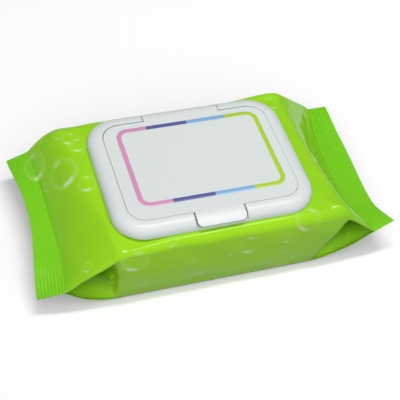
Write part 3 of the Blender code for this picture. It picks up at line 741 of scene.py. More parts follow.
class FilmSections:
    """Cross-sections of the film pack, one for each row of the arrays.

    flap is 0 in the body and grows to 1 where the flaps meet in the seal, and seal then grows
    to 1 at the seal's outer edge. along is the share of the way between the two ends' folds.
    A section's two halves run from the front side's middle to the back side's middle, one over
    the top and one along the underside. The side film folds in by the depth that keeps its
    length while its foot moves outwards, and the edges are elliptic quarters.
    """

    def __init__(self, end, flap, seal, along, settings):
        self.end = end
        self.flap, self.seal, self.along = (np.reshape(a, (-1, 1)) for a in (flap, seal, along))
        self.crimp_depth = settings.crimp_depth
        self.seal_half = settings.seal_thickness / 2
        self.half_width = PACK_WIDTH / 2 - TOP_DRAW_IN - self.seal * SEAL_TAPER
        self.bottom_half = lerp(PACK_WIDTH / 2 - BOTTOM_DRAW_IN, self.half_width, self.flap)
        self.front_radius = spread(FRONT_EDGE_RADII, self.along)

    def across(self, y):
        return np.clip((y + self.half_width) / (2 * self.half_width), 0, 1)

    def crimp(self, q):
        """Ribs along the seal, strong where the film kept the jaws' print."""
        wave = np.sin(2 * math.pi * CRIMP_RIBS * self.seal)
        return self.crimp_depth * wave * spread(self.end.rib_strength, q)

    def seal_height(self, y):
        """Height of the seal, whose two ears are warped up or down."""
        q = self.across(y)
        height = spread(self.end.seal_heights, q) * MM + self.crimp(q)
        inside = EAR_WIDTH - self.half_width
        front, back = self.end.ear_lifts
        height = height + front * MM * self.seal * ease((inside - y) / EAR_WIDTH)
        return height + back * MM * self.seal * ease((inside + y) / EAR_WIDTH)

    def flat_top(self, y):
        drop = spread([self.flap ** power for power in self.end.top_shoulders], self.across(y))
        drop = np.maximum(drop, 0)
        return PACK_HEIGHT - drop * (PACK_HEIGHT - self.seal_height(y) - self.seal_half)

    def flat_bottom(self, y):
        rise = spread([self.flap ** power for power in self.end.bottom_shoulders], self.across(y))
        return rise * (self.seal_height(y) - self.seal_half)

    def rounding(self, y, edge, corner, body_radius):
        """Height that an edge's elliptic quarter takes off the film."""
        wanted = lerp(body_radius, FLAP_EDGE_HEIGHT, self.flap)
        height = np.minimum(wanted, EDGE_SHARE * (self.flat_top(y) - self.flat_bottom(y)))
        out = np.clip((np.abs(y) - edge + corner) / corner, 0, 1)
        return height * (1 - np.sqrt(1 - out ** 2))

    def top_corner(self, y):
        radius = np.where(y < 0, self.front_radius, BACK_EDGE_RADIUS)
        return lerp(radius, SEAL_EDGE_ROUND, ease(self.flap)), radius

    def top(self, y):
        corner, radius = self.top_corner(y)
        x = self.place_along(y, 0.0)
        height = self.flat_top(y) + puff(x, y) * (1 - self.flap)
        loose = ramp(cap_distance(x, y), *ROUNDING_FROM_CAP)
        return height - loose * self.rounding(y, self.half_width, corner, radius)

    def bottom(self, y):
        corner = lerp(BOTTOM_EDGE_RADIUS, SEAL_EDGE_ROUND, ease(self.flap))
        rounding = self.rounding(y, self.bottom_half, corner, BOTTOM_EDGE_RADIUS)
        away = np.abs(y) - BACK_SEAM_WIDTH / 2
        seam = BACK_SEAM_GROOVE * np.exp(-(away / BACK_SEAM_SOFTNESS) ** 2)
        room = EDGE_SHARE * (self.flat_top(y) - self.flat_bottom(y))
        return self.flat_bottom(y) + rounding + np.minimum(seam, room)

    def tuck(self):
        """Depth of the side's inward fold."""
        slant = np.sqrt(1 - (1 - self.flap) ** 2)
        closing = np.sqrt(np.minimum((1 - self.flap) / TUCK_CLOSING, 1.0))
        return PACK_HEIGHT / 2 * slant * closing * ease(self.flap / TUCK_TURN)

    def place_along(self, y, down):
        q = self.across(y)
        body = lerp(fold_line(LEFT_END, q, down), fold_line(RIGHT_END, q, down), self.along)
        end = self.end
        fold = fold_line(end, q, down)
        seal_start = end.side * (PACK_LENGTH / 2 - spread(end.seal_start, q) * MM)
        edge = end.side * (PACK_LENGTH / 2 - spread(end.edge, q) * MM)
        flap = lerp(fold, seal_start, self.flap) + (edge - seal_start) * self.seal
        return np.where(self.flap > 0, flap, body)

    def side(self, side, down):
        """Points of one side's film: its width follows the tuck, its height the way down."""
        fold = (1 - np.abs(2 * down - 1) ** TUCK_ROUNDNESS) * self.tuck()
        folded = side * (self.half_width - fold)
        z = lerp(self.top(folded), self.bottom(folded), down)
        draw_in = np.where(down < 0.5, TOP_DRAW_IN, BOTTOM_DRAW_IN) * (2 * down - 1) ** 2
        y = side * (lerp(PACK_WIDTH / 2 - draw_in, self.half_width, self.flap) - fold)
        return y, z

    def half(self, upper):
        """One half of every section as an array of points."""
        turn = np.radians(np.linspace(90, 0, EDGE_POINTS + 1))[None, 1:]
        down = np.linspace(0.5, 0, SIDE_POINTS + 1)[None, :]
        if upper:
            edge = self.half_width
            corners = [self.top_corner(np.full_like(edge, side))[0] for side in (-1, 1)]
            height = self.top
        else:
            down = 1 - down
            edge = self.bottom_half
            corners = [lerp(BOTTOM_EDGE_RADIUS, SEAL_EDGE_ROUND, ease(self.flap))] * 2
            height = self.bottom
        front_y, front_z = self.side(-1, down)
        back_y, back_z = self.side(1, down)
        front_edge = -(edge - corners[0] * (1 - np.sin(turn)))
        back_edge = edge - corners[1] * (1 - np.sin(turn))
        flat = np.linspace(0, 1, FLAT_POINTS + 1)[None, 1:-1]
        flat_y = lerp(front_edge[:, -1:], back_edge[:, -1:], flat)
        top_y = np.concatenate([front_edge, flat_y, back_edge[:, ::-1]], axis=1)
        y = np.concatenate([front_y, top_y, back_y[:, ::-1]], axis=1)
        z = np.concatenate([front_z, height(top_y), back_z[:, ::-1]], axis=1)
        level = np.full_like(top_y[:1], 0.0 if upper else 1.0)
        share = np.concatenate([down, level, down[:, ::-1]], axis=1)
        return np.stack([self.place_along(y, share), y, z], axis=2)

    def rings(self):
        """Closed rings from the underside's middle, round the front, the top and the back."""
        upper, lower = self.half(True), self.half(False)
        middle = lower.shape[1] // 2
        back = lower[:, lower.shape[1] - 2:middle:-1]
        return np.concatenate([lower[:, middle::-1], upper[:, 1:], back], axis=1)


def film_rings(settings):
    """All sections from the left seal's edge to the right seal's edge, with flap and seal shares."""
    even = np.linspace(0, 1, SEAL_STATIONS + 1)[1:]
    flap = (1 - np.cos(math.pi * np.linspace(0, 1, FLAP_STATIONS + 1)[1:])) / 2
    end_flap = np.concatenate([flap, np.ones(SEAL_STATIONS)])
    end_seal = np.concatenate([np.zeros(FLAP_STATIONS), even])
    body = np.linspace(0, 1, BODY_STATIONS + 1)
    nothing = np.zeros_like(body)
    left = FilmSections(LEFT_END, end_flap, end_seal, np.zeros_like(end_flap), settings)
    middle = FilmSections(LEFT_END, nothing, nothing, body, settings)
    right = FilmSections(RIGHT_END, end_flap, end_seal, np.ones_like(end_flap), settings)
    rings = np.concatenate([left.rings()[::-1], middle.rings(), right.rings()])
    flaps = np.concatenate([end_flap[::-1], nothing, end_flap])
    seals = np.concatenate([end_seal[::-1], nothing, end_seal])
    return rings, flaps[:, None], seals[:, None]


def film_places(rings):
    """Place of each point on the unrolled film: length along it, and length round it.

    Along is summed down each line from the middle section, and round is measured on the middle
    section from the middle of the top.
    """
    middle = len(rings) // 2
    steps = np.linalg.norm(np.diff(rings, axis=0), axis=2)
    along = np.concatenate([np.zeros((1, rings.shape[1])), np.cumsum(steps, axis=0)])
    along = along - along[middle] + rings[middle, :, 0]
    around = np.linalg.norm(np.diff(rings[middle], axis=0), axis=1)
    around = np.concatenate([[0], np.cumsum(around)])
    top = np.argmin(np.abs(rings[middle, :, 1]) - rings[middle, :, 2])
    return along, np.broadcast_to(around - around[top], along.shape)


def film_normals(rings, reach):
    """Outward unit normals of the ring grid, averaged by area over the rows within reach."""
    along = np.diff(rings, axis=0, append=rings[-1:])
    around = np.roll(rings, -1, axis=1) - np.roll(rings, 1, axis=1)
    area = np.cross(along, around)
    total = np.cumsum(np.concatenate([np.zeros_like(area[:1]), area]), axis=0)
    rows = np.arange(len(rings))
    high, low = np.minimum(rows + reach, len(rings)), np.maximum(rows - reach, 0)
    normal = total[high] - total[low]
    return normal / np.maximum(np.linalg.norm(normal, axis=2, keepdims=True), 1e-15)


def film_faces(rings):
    """Quads between the sections, and the strips that close the two seals' thin edges."""
    faces = grid_faces(rings, wrap_columns=True)
    rows, columns = rings.shape[:2]
    half = columns // 2 + 1
    middle = half // 2
    i = np.arange(half)
    upper = middle + i
    lower = np.where(i <= middle, middle - i, columns - (i - middle))
    strips = []
    for first, flip in ((0, False), ((rows - 1) * columns, True)):
        strip = np.stack([upper[:-1], upper[1:], lower[1:], lower[:-1]], axis=1) + first
        strips.append(strip[:, ::-1] if flip else strip)
    return np.concatenate([faces, *strips])


def waves(u, v, scale):
    """Gentle unevenness of loose film, a sum of crossing sine waves of about that length."""
    total = 0
    for turn, share, start in WAVE_TRAINS:
        place = (u * math.cos(turn) + v * math.sin(turn)) * share / scale
        total = total + np.sin(2 * math.pi * place + start)
    return total / len(WAVE_TRAINS)


def pleats(u, v):
    """Short pleats that run out of the seals: waves round the pack of uneven width."""
    bent = v + PLEAT_BEND[0] * np.sin(v / PLEAT_BEND[1]) + PLEAT_SLANT * np.abs(u)
    uneven, length = PLEAT_UNEVENNESS
    return np.sin(2 * math.pi * bent / PLEAT_WIDTH) * (1 - uneven + uneven * np.sin(v / length + 1))


def creases(u, v):
    """Height of the creases: each is a ridge with a bell-shaped section, fading at its ends."""
    total = np.zeros_like(u)
    for start, end, width, height in CREASES:
        start, end = np.array(start) * MM, np.array(end) * MM
        run = end - start
        length = np.hypot(*run)
        along = ((u - start[0]) * run[0] + (v - start[1]) * run[1]) / length ** 2
        away = ((u - start[0]) * run[1] - (v - start[1]) * run[0]) / length
        fade = ease(4 * along) * ease(4 * (1 - along))
        total = total + height * MM * fade * np.exp(-(away / (width * MM)) ** 2)
    return total


def settle(rings, flap):
    """The soft pack's front: above and below its middle it leans in by the square of the distance
    from there, and its top edge drops towards the left fold.
    """
    x, y, z = np.moveaxis(rings, 2, 0)
    lean = np.where(z > PACK_HEIGHT / 2, FRONT_LEAN, FRONT_FOOT_LEAN)
    lean = lean * ramp(-y, *LEAN_TO_FRONT) * (2 * z / PACK_HEIGHT - 1) ** 2
    outwards = np.clip((-y - DROP_TO_FRONT[0]) / DROP_TO_FRONT[1], 0, 1) ** CORNER_DROP_POWER
    drop = CORNER_DROP * outwards * ramp(-x, *DROP_TO_LEFT)
    free = 1 - flap
    return np.stack([x, y + lean * free, z - drop * ease(z / PACK_HEIGHT) * free], axis=2)


def soften(rings, flap):
    """Round the folds: near them each section is averaged with its neighbours again and again."""
    rows = np.arange(len(rings))
    folds = rows[1:][np.diff(flap[:, 0] > 0)]
    near = sum(np.exp(-((rows - fold) / FOLD_REACH) ** 2) for fold in folds)[1:-1, None, None]
    for _ in range(FOLD_PASSES):
        average = (rings[:-2] + rings[2:]) / 2
        rings[1:-1] = lerp(rings[1:-1], average, near / 2)
    return rings


def dish(x, y):
    """Depth of the film's dish under the opening, with a smooth slope round it."""
    half = (OPENING_HALF[0] - DISH_MARGIN, OPENING_HALF[1] - DISH_MARGIN)
    inside = -rounded_distance(x - CAP_OFFSET, y, half, OPENING_CORNER_RADIUS - DISH_MARGIN)
    return DISH_DEPTH * ease(inside / DISH_SLOPE + 0.5)


def bubble_layer(u, v, bubbles):
    """For each point the offset from the nearest bubble's centre over its radius, and its strength.

    The offset is turned so that the bubble's mark lies along its first axis. The strength is 0
    further out than the grid's step round the bubble, so nothing shows where the nearest changes.
    """
    values = np.zeros((*u.shape, 3))
    nearest = np.full(u.shape, np.inf)
    for place, around, radius, strength, mark in bubbles:
        dx, dy = (u / MM - place) / radius, (v / MM - around) / radius
        beyond = (np.hypot(dx, dy) - 1) * radius
        cos, sin = math.cos(math.radians(mark)), math.sin(math.radians(mark))
        shown = strength * (beyond < BUBBLE_REACH)
        turned = np.stack([dx * cos + dy * sin, dy * cos - dx * sin, shown], axis=-1)
        values = np.where((beyond < nearest)[..., None], turned, values)
        nearest = np.minimum(nearest, beyond)
    return values


def tuck_shade(flap):
    """Share of painted shade each point takes for how deep it lies in a tuck: 1 at the middle of
    a folded side, falling by the square of the share of the side's points from there. The part
    under the fold is open to the light sooner, so its painted shade is narrower.
    """
    half = SIDE_POINTS + EDGE_POINTS + FLAT_POINTS // 2
    column = np.arange(4 * half)
    above = np.abs(column - 2 * half) < half
    away = np.minimum(np.abs(column - half), np.abs(column - 3 * half)) / SIDE_POINTS
    away = away * np.where(above, 1, UNDERSIDE_NARROWER)
    return np.clip(1 - away ** 2, 0, 1) * ease(flap / TUCK_SHADE_RUN)


def build_film(settings):
    """The film pack: the sections with waves, pleats and creases along their normals."""
    rings, flap, seal = film_rings(settings)
    rings = soften(settle(rings, flap), flap)
    along, around = film_places(rings)
    x, y, z = np.moveaxis(rings, 2, 0)
    on_top = z > PACK_HEIGHT / 2
    loose = np.where(on_top, ramp(cap_distance(x, y), *LOOSE_FROM_CAP), 1.0)
    above = ramp(z, *LOOSE_FROM_FLOOR)
    open_flap = ease((1 - flap) / LOOSE_END)
    height = settings.wave_height * waves(along, around, settings.wave_length) * open_flap
    height = height + creases(along, around) * open_flap
    near_seal = ramp(flap, PLEATS_START, 1 - PLEATS_START) * open_flap
    height = height + settings.pleat_height * pleats(along, around) * near_seal
    rings = rings + film_normals(rings, NORMAL_REACH) * (height * loose * above)[..., None]
    under_cap = (cap_distance(x, y) < 0) & on_top
    rings[..., 2] -= np.where(under_cap, dish(x, y), 0)
    over_flap, over_seal = SEAL_GREEN_RATES
    seal_green = ease(over_flap * (flap - SEAL_GREEN_START) + over_seal * seal)
    place = raised(along / MM, around / MM, seal_green)
    # Besides its place on the film, each point carries its share of painted shade inside the tucks
    attributes = [("film_place", "FLOAT_VECTOR", "POINT", place),
                  ("tuck_shade", "FLOAT", "POINT", tuck_shade(flap))]
    for name, bubbles in BUBBLES.items():
        attributes.append((name, "FLOAT_VECTOR", "POINT", bubble_layer(along, around, bubbles)))
    piece = make_piece("film_pack", rings, film_faces(rings), printed_film_material(settings),
                       "pack", attributes)
    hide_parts("pouch")


# Cap rim


def notch_run(half, side, notch, edge_round):
    """Places along a straight side with a notch in it: x, variant of the profile, and inset.

    The profile is hollow far from the notch (variant 0), solid beside it (1) and cut in it.
    The rim's edges beside the notch are rounded by an inset of the solid profile.
    """
    turn = np.radians(np.linspace(0, 90, EDGE_STOPS))
    outer = np.linspace(RIM_STRAIGHT[0], half + RIM_WALL, RIM_STOPS)
    rows = [(x, 0, 0.0) for x in outer[1:]] + [(half + RIM_WALL, 1, 0.0)]
    rows += [(half + edge_round * (1 - math.sin(a)), 1, edge_round * (1 - math.cos(a))) for a in turn]
    rows += [(x, notch, 0.0) for x in np.linspace(half, 0, NOTCH_STOPS)]
    rows = [(-x, variant, inset) for x, variant, inset in rows] + rows[-2::-1]
    return [(-side * x, variant, inset) for x, variant, inset in rows]


def cap_path(edge_round):
    """Stations round the cap as rows of an array.

    A station has the signs of its corner's place, its direction from the corner's centre, a
    fixed x or y where it lies on a straight side, its profile's variant, and its inset.
    """
    stations = []
    nowhere = math.nan
    front = notch_run(FRONT_TAB_HALF + FRONT_NOTCH_GAP, -1, 2, edge_round)
    back = notch_run(HINGE_TAB_HALF + HINGE_NOTCH_GAP, 1, 3, edge_round)
    sides = np.linspace(-RIM_STRAIGHT[1], RIM_STRAIGHT[1], SIDE_STOPS)[1:-1]
    for run, side, start, sx in ((front, -1, -90, 1), (back, 1, 90, -1)):
        for x, variant, inset in run:
            stations.append((1, side, 0, side, x, nowhere, variant, inset))
        for sy, first in ((side, start), (-side, start + 90)):
            for angle in np.radians(np.linspace(first, first + 90, CORNER_STOPS)):
                stations.append((sx, sy, math.cos(angle), math.sin(angle), nowhere, nowhere, 0, 0))
            if sy == side:
                for y in sides * sx:
                    stations.append((sx, 1, sx, 0, nowhere, y, 0, 0))
    return np.array(stations).T


def outline(path, half_x, half_y, radius, stretch=(1.0, 1.0)):
    """Rounded rectangles along the path: one row for each size."""
    sx, sy, cos, sin, fixed_x, fixed_y = path[:6]
    half_x, half_y, radius = (np.reshape(a, (-1, 1)) for a in (half_x, half_y, radius))
    x = sx * (half_x - radius) + radius * cos
    y = sy * (half_y - radius) + radius * sin
    x = np.where(np.isnan(fixed_x), x, fixed_x * stretch[0])
    y = np.where(np.isnan(fixed_y), y, fixed_y * stretch[1])
    return x, y


def bullnose(inset_size, height, base, steps, start=0.0):
    """Inset and height on the rim's bullnose, a quarter superellipse."""
    first = math.asin(min((start / height) ** (RIM_ROUNDNESS / 2), 1.0))
    turns = np.linspace(first, math.pi / 2, steps + 1)
    power = 2 / RIM_ROUNDNESS
    inset = inset_size * (1 - np.maximum(np.cos(turns), 0) ** power)
    return np.stack([inset, base + height * np.sin(turns) ** power], axis=1)


def rim_profile(edge_round):
    """The rim's outer face as inset and height, and the number of points before the wall's place."""
    nose = bullnose(RIM_CROSSWISE, RIM_HEIGHT, SEAT_GAP, 40)
    nose = nose[nose[:, 0] < RIM_CROSSWISE - edge_round]
    wall_inset = RIM_CROSSWISE - RIM_WALL
    before = nose[nose[:, 0] < wall_inset]
    after = nose[nose[:, 0] >= wall_inset]
    step = [wall_inset, np.interp(wall_inset, nose[:, 0], nose[:, 1])]
    lip = quarter((RIM_CROSSWISE - edge_round, CAP_TOP - edge_round), edge_round, 90, 0)
    heights = np.linspace(CAP_TOP - edge_round, FLOOR_TOP + FLOOR_FILLET, 14)[1:]
    wall = np.stack([np.full_like(heights, RIM_CROSSWISE), heights], axis=1)
    return np.concatenate([before, [step] * 4, after, lip, wall]), len(before)


def rim_profiles(edge_round):
    """The rim's four closed profiles: hollow, solid, cut for the front tab and for the hinge tab."""
    outer, before = rim_profile(edge_round)
    inset, height = outer.T
    wall_inset = RIM_CROSSWISE - RIM_WALL
    front, hinge = outer.copy(), outer.copy()
    front[:, 1] = np.where(inset < wall_inset, np.minimum(height, FRONT_SILL_HEIGHT),
                           np.minimum(height, BEAD_TOP))
    front[before:before + 2, 1] = FRONT_SILL_HEIGHT
    hinge[:, 1] = np.minimum(height, HINGE_HEIGHT - HINGE_LEDGE_DROP)
    hollow_top = SEAT_GAP + RIM_HEIGHT - RIM_WALL
    curve = bullnose(wall_inset, RIM_HEIGHT - RIM_WALL, SEAT_GAP, 16)[::-1]
    curve = curve[curve[:, 0] < wall_inset - RIM_WALL] + np.array([RIM_WALL, 0])
    under = np.concatenate([[[wall_inset, SEAT_GAP], [wall_inset, hollow_top]], curve])
    solid_under = under.copy()
    solid_under[:, 1] = SEAT_GAP
    pairs = ((under, outer), (solid_under, outer), (solid_under, front), (solid_under, hinge))
    return [np.concatenate(pair) for pair in pairs]


def collar_rings(path):
    """The floor's edge, the raised collar round the opening, and the floor's underside."""
    top = FLOOR_TOP + COLLAR_HEIGHT
    profile = np.concatenate([
        quarter((COLLAR_WALL + FLOOR_FILLET, FLOOR_TOP + FLOOR_FILLET), FLOOR_FILLET, 270, 180, 3),
        quarter((COLLAR_WALL - SMALL_ROUND, top - SMALL_ROUND), SMALL_ROUND, 0, 90),
        quarter((SMALL_ROUND, top - SMALL_ROUND), SMALL_ROUND, 90, 180),
        [[0.0, SEAT_GAP]]])
    stretch = tuple((OPENING_HALF[a] - OPENING_CORNER_RADIUS) / RIM_STRAIGHT[a] for a in (0, 1))
    outside, height = profile.T
    x, y = outline(path, OPENING_HALF[0] + outside, OPENING_HALF[1] + outside,
                   OPENING_CORNER_RADIUS + outside, stretch)
    return raised(x, y, height[:, None])


def rim_rings(path, profile):
    """One profile carried round the cap: its inset moves from the foot to the well's edge."""
    share = profile[:, 0] / RIM_CROSSWISE
    x, y = outline(path, lerp(CAP_HALF[0], WELL_HALF[0], share), lerp(CAP_HALF[1], WELL_HALF[1], share),
                   lerp(CAP_CORNER_RADIUS, WELL_CORNER_RADIUS, share))
    return raised(x, y, profile[:, 1:])


def build_cap(settings):
    """The cap's rim, well and collar: a closed profile carried round the rounded rectangle.

    Each station takes one of four profiles with equal point counts. A station with an inset has
    its profile shrunk from the outside, which rounds the edge beside a notch.
    """
    path = cap_path(settings.notch_edge_round)
    variant, inset = path[6].astype(int), path[7]
    profiles = rim_profiles(settings.rim_edge_round)
    rings = np.zeros((len(profiles[0]), path.shape[1], 3))
    for number, profile in enumerate(profiles):
        chosen = (variant == number)[None, :, None]
        rings = np.where(chosen, rim_rings(path, profile), rings)
    side = np.sign(rings[..., 1])
    high = ramp(rings[..., 2], SEAT_GAP, 1 * MM)
    rings[..., 1] -= side * inset * high * (np.abs(rings[..., 1]) > WELL_HALF[1] + 2 * MM)
    rings[..., 2] -= inset * ramp(rings[..., 2], 3 * MM, 2 * MM)
    bead = BEAD_DEPTH * ease((BEAD_HALF_LENGTH - np.abs(rings[..., 0])) / (1 * MM) + 0.5)
    bead = bead * np.exp(-((rings[..., 2] - BEAD_TOP + BEAD_CENTRE_DROP) / BEAD_SOFTNESS) ** 2)
    on_front_wall = (np.abs(rings[..., 1] + WELL_HALF[1]) < SAME_PLACE) & (variant == 2)
    rings[..., 1] += np.where(on_front_wall, bead, 0)
    fillet = quarter((RIM_CROSSWISE + FLOOR_FILLET, FLOOR_TOP + FLOOR_FILLET), FLOOR_FILLET, 180, 270, 3)
    fillet_rings = rim_rings(path, fillet[1:])
    points = np.concatenate([rings, fillet_rings, collar_rings(path)]) + CAP_PLACE
    faces = grid_faces(points, wrap_rows=True, wrap_columns=True)
    material = moulded_plastic("moulded_polypropylene_cap", settings.plastic)
    piece = make_piece("cap_rim", points, faces, material, "pack", sharp=30)
    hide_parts("cap_frame")


# Lid


def lid_rows():
    """Side view of the lid's top as rows of y and z: front tab, flat panel and hinge tab."""
    tip = CAP_HALF[1] + FRONT_TAB_OVERHANG
    reach = np.sin(np.radians(np.linspace(90, 0, TAB_ROWS)))
    y = -lerp(WELL_HALF[1], tip, reach)
    tab = np.stack([y, CAP_TOP - FRONT_TAB_DROOP * reach ** FRONT_TAB_CURVE], axis=1)
    corner = LID_CORNER_RADIUS * (1 - np.cos(np.radians(np.linspace(0, 90, CORNER_ROWS))))
    flat = np.linspace(LID_FRONT + LID_CORNER_RADIUS, LID_BACK - LID_CORNER_RADIUS, FLAT_ROWS)[1:-1]
    flat = np.concatenate([LID_FRONT + corner, flat, LID_BACK - corner[::-1]])
    panel = np.stack([flat, np.full_like(flat, CAP_TOP)], axis=1)
    nose = bullnose(RIM_CROSSWISE, RIM_HEIGHT, SEAT_GAP, HINGE_ROWS, HINGE_TAB_END - SEAT_GAP)[::-1]
    hinge = np.stack([CAP_HALF[1] - nose[:, 0], nose[:, 1]], axis=1)
    return tab[tab[:, 0] < LID_FRONT - TAB_JOIN], panel, hinge[hinge[:, 0] > LID_BACK + TAB_JOIN]


def build_lid(settings):
    """The lid: a lattice bent over its side view, its width following the plan of its edge.

    Columns up to the tabs' half widths keep their places, so that the tabs join the panel, and
    the columns beyond them are spread to the panel's rounded outline.
    """
    tab, panel, hinge = lid_rows()
    inner = np.linspace(0, FRONT_TAB_HALF, TAB_COLUMNS)
    middle = np.linspace(FRONT_TAB_HALF, HINGE_TAB_HALF, HINGE_COLUMNS)[1:]
    outer = np.linspace(0, 1, PANEL_COLUMNS)[1:]
    y, z = np.concatenate([tab, panel, hinge]).T
    row = np.arange(len(y))
    front = np.clip(LID_FRONT + LID_CORNER_RADIUS - y, 0, LID_CORNER_RADIUS)
    back = np.clip(y - LID_BACK + LID_CORNER_RADIUS, 0, LID_CORNER_RADIUS)
    bend = np.maximum(front, back)
    reach = LID_HALF_LENGTH - LID_CORNER_RADIUS + np.sqrt(LID_CORNER_RADIUS ** 2 - bend ** 2)
    near = np.clip(FRONT_TAB_CORNER - CAP_HALF[1] - FRONT_TAB_OVERHANG - y, 0, FRONT_TAB_CORNER)
    tab_half = FRONT_TAB_HALF - FRONT_TAB_CORNER + np.sqrt(FRONT_TAB_CORNER ** 2 - near ** 2)
    inner_x = (tab_half / FRONT_TAB_HALF)[:, None] * inner
    middle_x = np.broadcast_to(middle, (len(y), len(middle)))
    outer_x = lerp(HINGE_TAB_HALF, reach[:, None], outer)
    half = np.concatenate([inner_x, middle_x, outer_x], axis=1)
    x = np.concatenate([-half[:, :0:-1], half], axis=1)
    points = raised(x, y[:, None], z[:, None])
    faces = grid_faces(points).reshape(len(y) - 1, -1, 4)
    column = np.arange(faces.shape[1])
    place = np.minimum(np.abs(column - half.shape[1] + 1), np.abs(column - half.shape[1] + 2))
    keep = np.ones(faces.shape[:2], bool)
    keep[row[:-1] < len(tab)] = place < len(inner) - 1
    keep[row[:-1] >= len(tab) + len(panel) - 1] = place < len(inner) + len(middle) - 1
    piece = make_piece("cap_lid", points + CAP_PLACE, faces[keep],
                       moulded_plastic("moulded_polypropylene_lid", settings.plastic))
    wall = piece.modifiers.new("wall", "SOLIDIFY")
    wall.thickness = LID_THICKNESS
    wall.offset = -1
    edge = piece.modifiers.new("soft_edges", "BEVEL")
    edge.width = settings.lid_edge_round
    edge.segments = 3
    edge.limit_method = "ANGLE"
    edge.angle_limit = math.radians(50)
    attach(piece, "lid")
    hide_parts("lid")


def ring_outline(half, radius, centre=(0, 0), knots=(), corner_steps=12, straight_steps=16):
    """Rounded rectangle anticlockwise from its front right corner, with places on its straights.

    knots are x values where the front and back straights have a point.
    """
    runs = []
    for turn, (sx, sy) in enumerate(((1, -1), (1, 1), (-1, 1), (-1, -1))):
        corner = np.array([sx * (half[0] - radius), sy * (half[1] - radius)]) + centre
        runs.append(quarter(corner, radius, 90 * (turn - 1), 90 * turn, corner_steps))
    points = []
    for turn, (run, following) in enumerate(zip(runs, runs[1:] + runs[:1])):
        start, end = run[-1], following[0]
        shares = np.linspace(0, 1, straight_steps + 1)
        if turn % 2 and len(knots):
            marks = np.sort((np.array(knots) - start[0]) / (end[0] - start[0]))
            marks = np.concatenate([[0], marks, [1]])
            shares = np.interp(shares * (len(marks) - 1), np.arange(len(marks)), marks)
        points += [run, lerp(start, end, shares[1:-1, None])]
    return np.concatenate(points)


def closed_prism(profile, half_length, steps):
    """Rings of a closed profile of y and z points along x, drawn to a point at both ends."""
    places = np.linspace(-half_length, half_length, steps + 1)
    middle = profile.mean(axis=0)
    rings = [np.column_stack([np.full(len(profile), x), profile]) for x in places]
    ends = [np.tile([x, *middle], (len(profile), 1)) for x in (-half_length, half_length)]
    return np.array([ends[0], *rings, ends[1]])


def build_lid_ribs(settings):
    """Under the lid: the ring that closes round the collar, and the catch behind the front edge."""
    material = moulded_plastic("moulded_polypropylene_ribs", settings.plastic)
    inner = COLLAR_WALL + SMALL_ROUND
    outer = inner + SEAL_RIB_THICKNESS
    low, high = LID_UNDERSIDE - SEAL_RIB_DROP, LID_UNDERSIDE + ROOT
    profile = np.concatenate([
        [[outer, high]], quarter((outer - SMALL_ROUND, low + SMALL_ROUND), SMALL_ROUND, 0, -90),
        quarter((inner + SMALL_ROUND, low + SMALL_ROUND), SMALL_ROUND, -90, -180), [[inner, high]]])
    rings = []
    for outside, height in profile:
        half = (OPENING_HALF[0] + outside, OPENING_HALF[1] + outside)
        ring = ring_outline(half, OPENING_CORNER_RADIUS + outside, corner_steps=24)
        rings.append(on_level(ring, height))
    points = np.array(rings) + CAP_PLACE
    faces = grid_faces(points, wrap_rows=True, wrap_columns=True)
    make_piece("lid_seal_ring", points, faces, material, "lid", sharp=40)
    nose = -(WELL_HALF[1] - BEAD_DEPTH - CATCH_CLEARANCE)
    face, back = nose + BEAD_DEPTH, nose + CATCH_THICKNESS
    low = LID_UNDERSIDE - CATCH_DROP
    top, middle, bottom = (low + height for height in CATCH_NOSE_HEIGHTS)
    profile = np.array([[back, high], [face, high], [face, top], [nose, middle],
                        [nose, bottom], [face, low], [back, low]])
    points = closed_prism(profile, BEAD_HALF_LENGTH, 8) + CAP_PLACE
    faces = grid_faces(points, wrap_columns=True)
    make_piece("lid_catch", points, faces, material, "lid", sharp=30)


def build_hinge_web(settings):
    """The living hinge: a thin flat web between the frame's ledge and the lid's tab."""
    low = HINGE_HEIGHT - HINGE_LEDGE_DROP - WEB_OVERLAP
    high = HINGE_TAB_END + WEB_OVERLAP
    outer = CAP_HALF[1] - WEB_OVERLAP
    heights = np.linspace(low, high, WEB_ROWS)
    sides = [np.column_stack([np.full_like(column, y), column])
             for y, column in ((outer, heights), (outer - WEB_THICKNESS, heights[::-1]))]
    points = closed_prism(np.concatenate(sides), HINGE_TAB_HALF - WEB_SIDE_GAP, 12) + CAP_PLACE
    faces = grid_faces(points, wrap_columns=True)
    material = moulded_plastic("moulded_polypropylene_hinge", settings.plastic)
    web = make_piece("hinge_web", points, faces, material, sharp=40)
    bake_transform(web)


def sticker_outline(inset):
    left, right, front, back = STICKER_MARGINS
    low = np.array([-LID_HALF_LENGTH + left, LID_FRONT + front]) + inset
    high = np.array([LID_HALF_LENGTH - right, LID_BACK - back]) - inset
    return ring_outline((high - low) / 2, STICKER_CORNER_RADIUS - inset, (high + low) / 2, STRIPE_SPLITS)


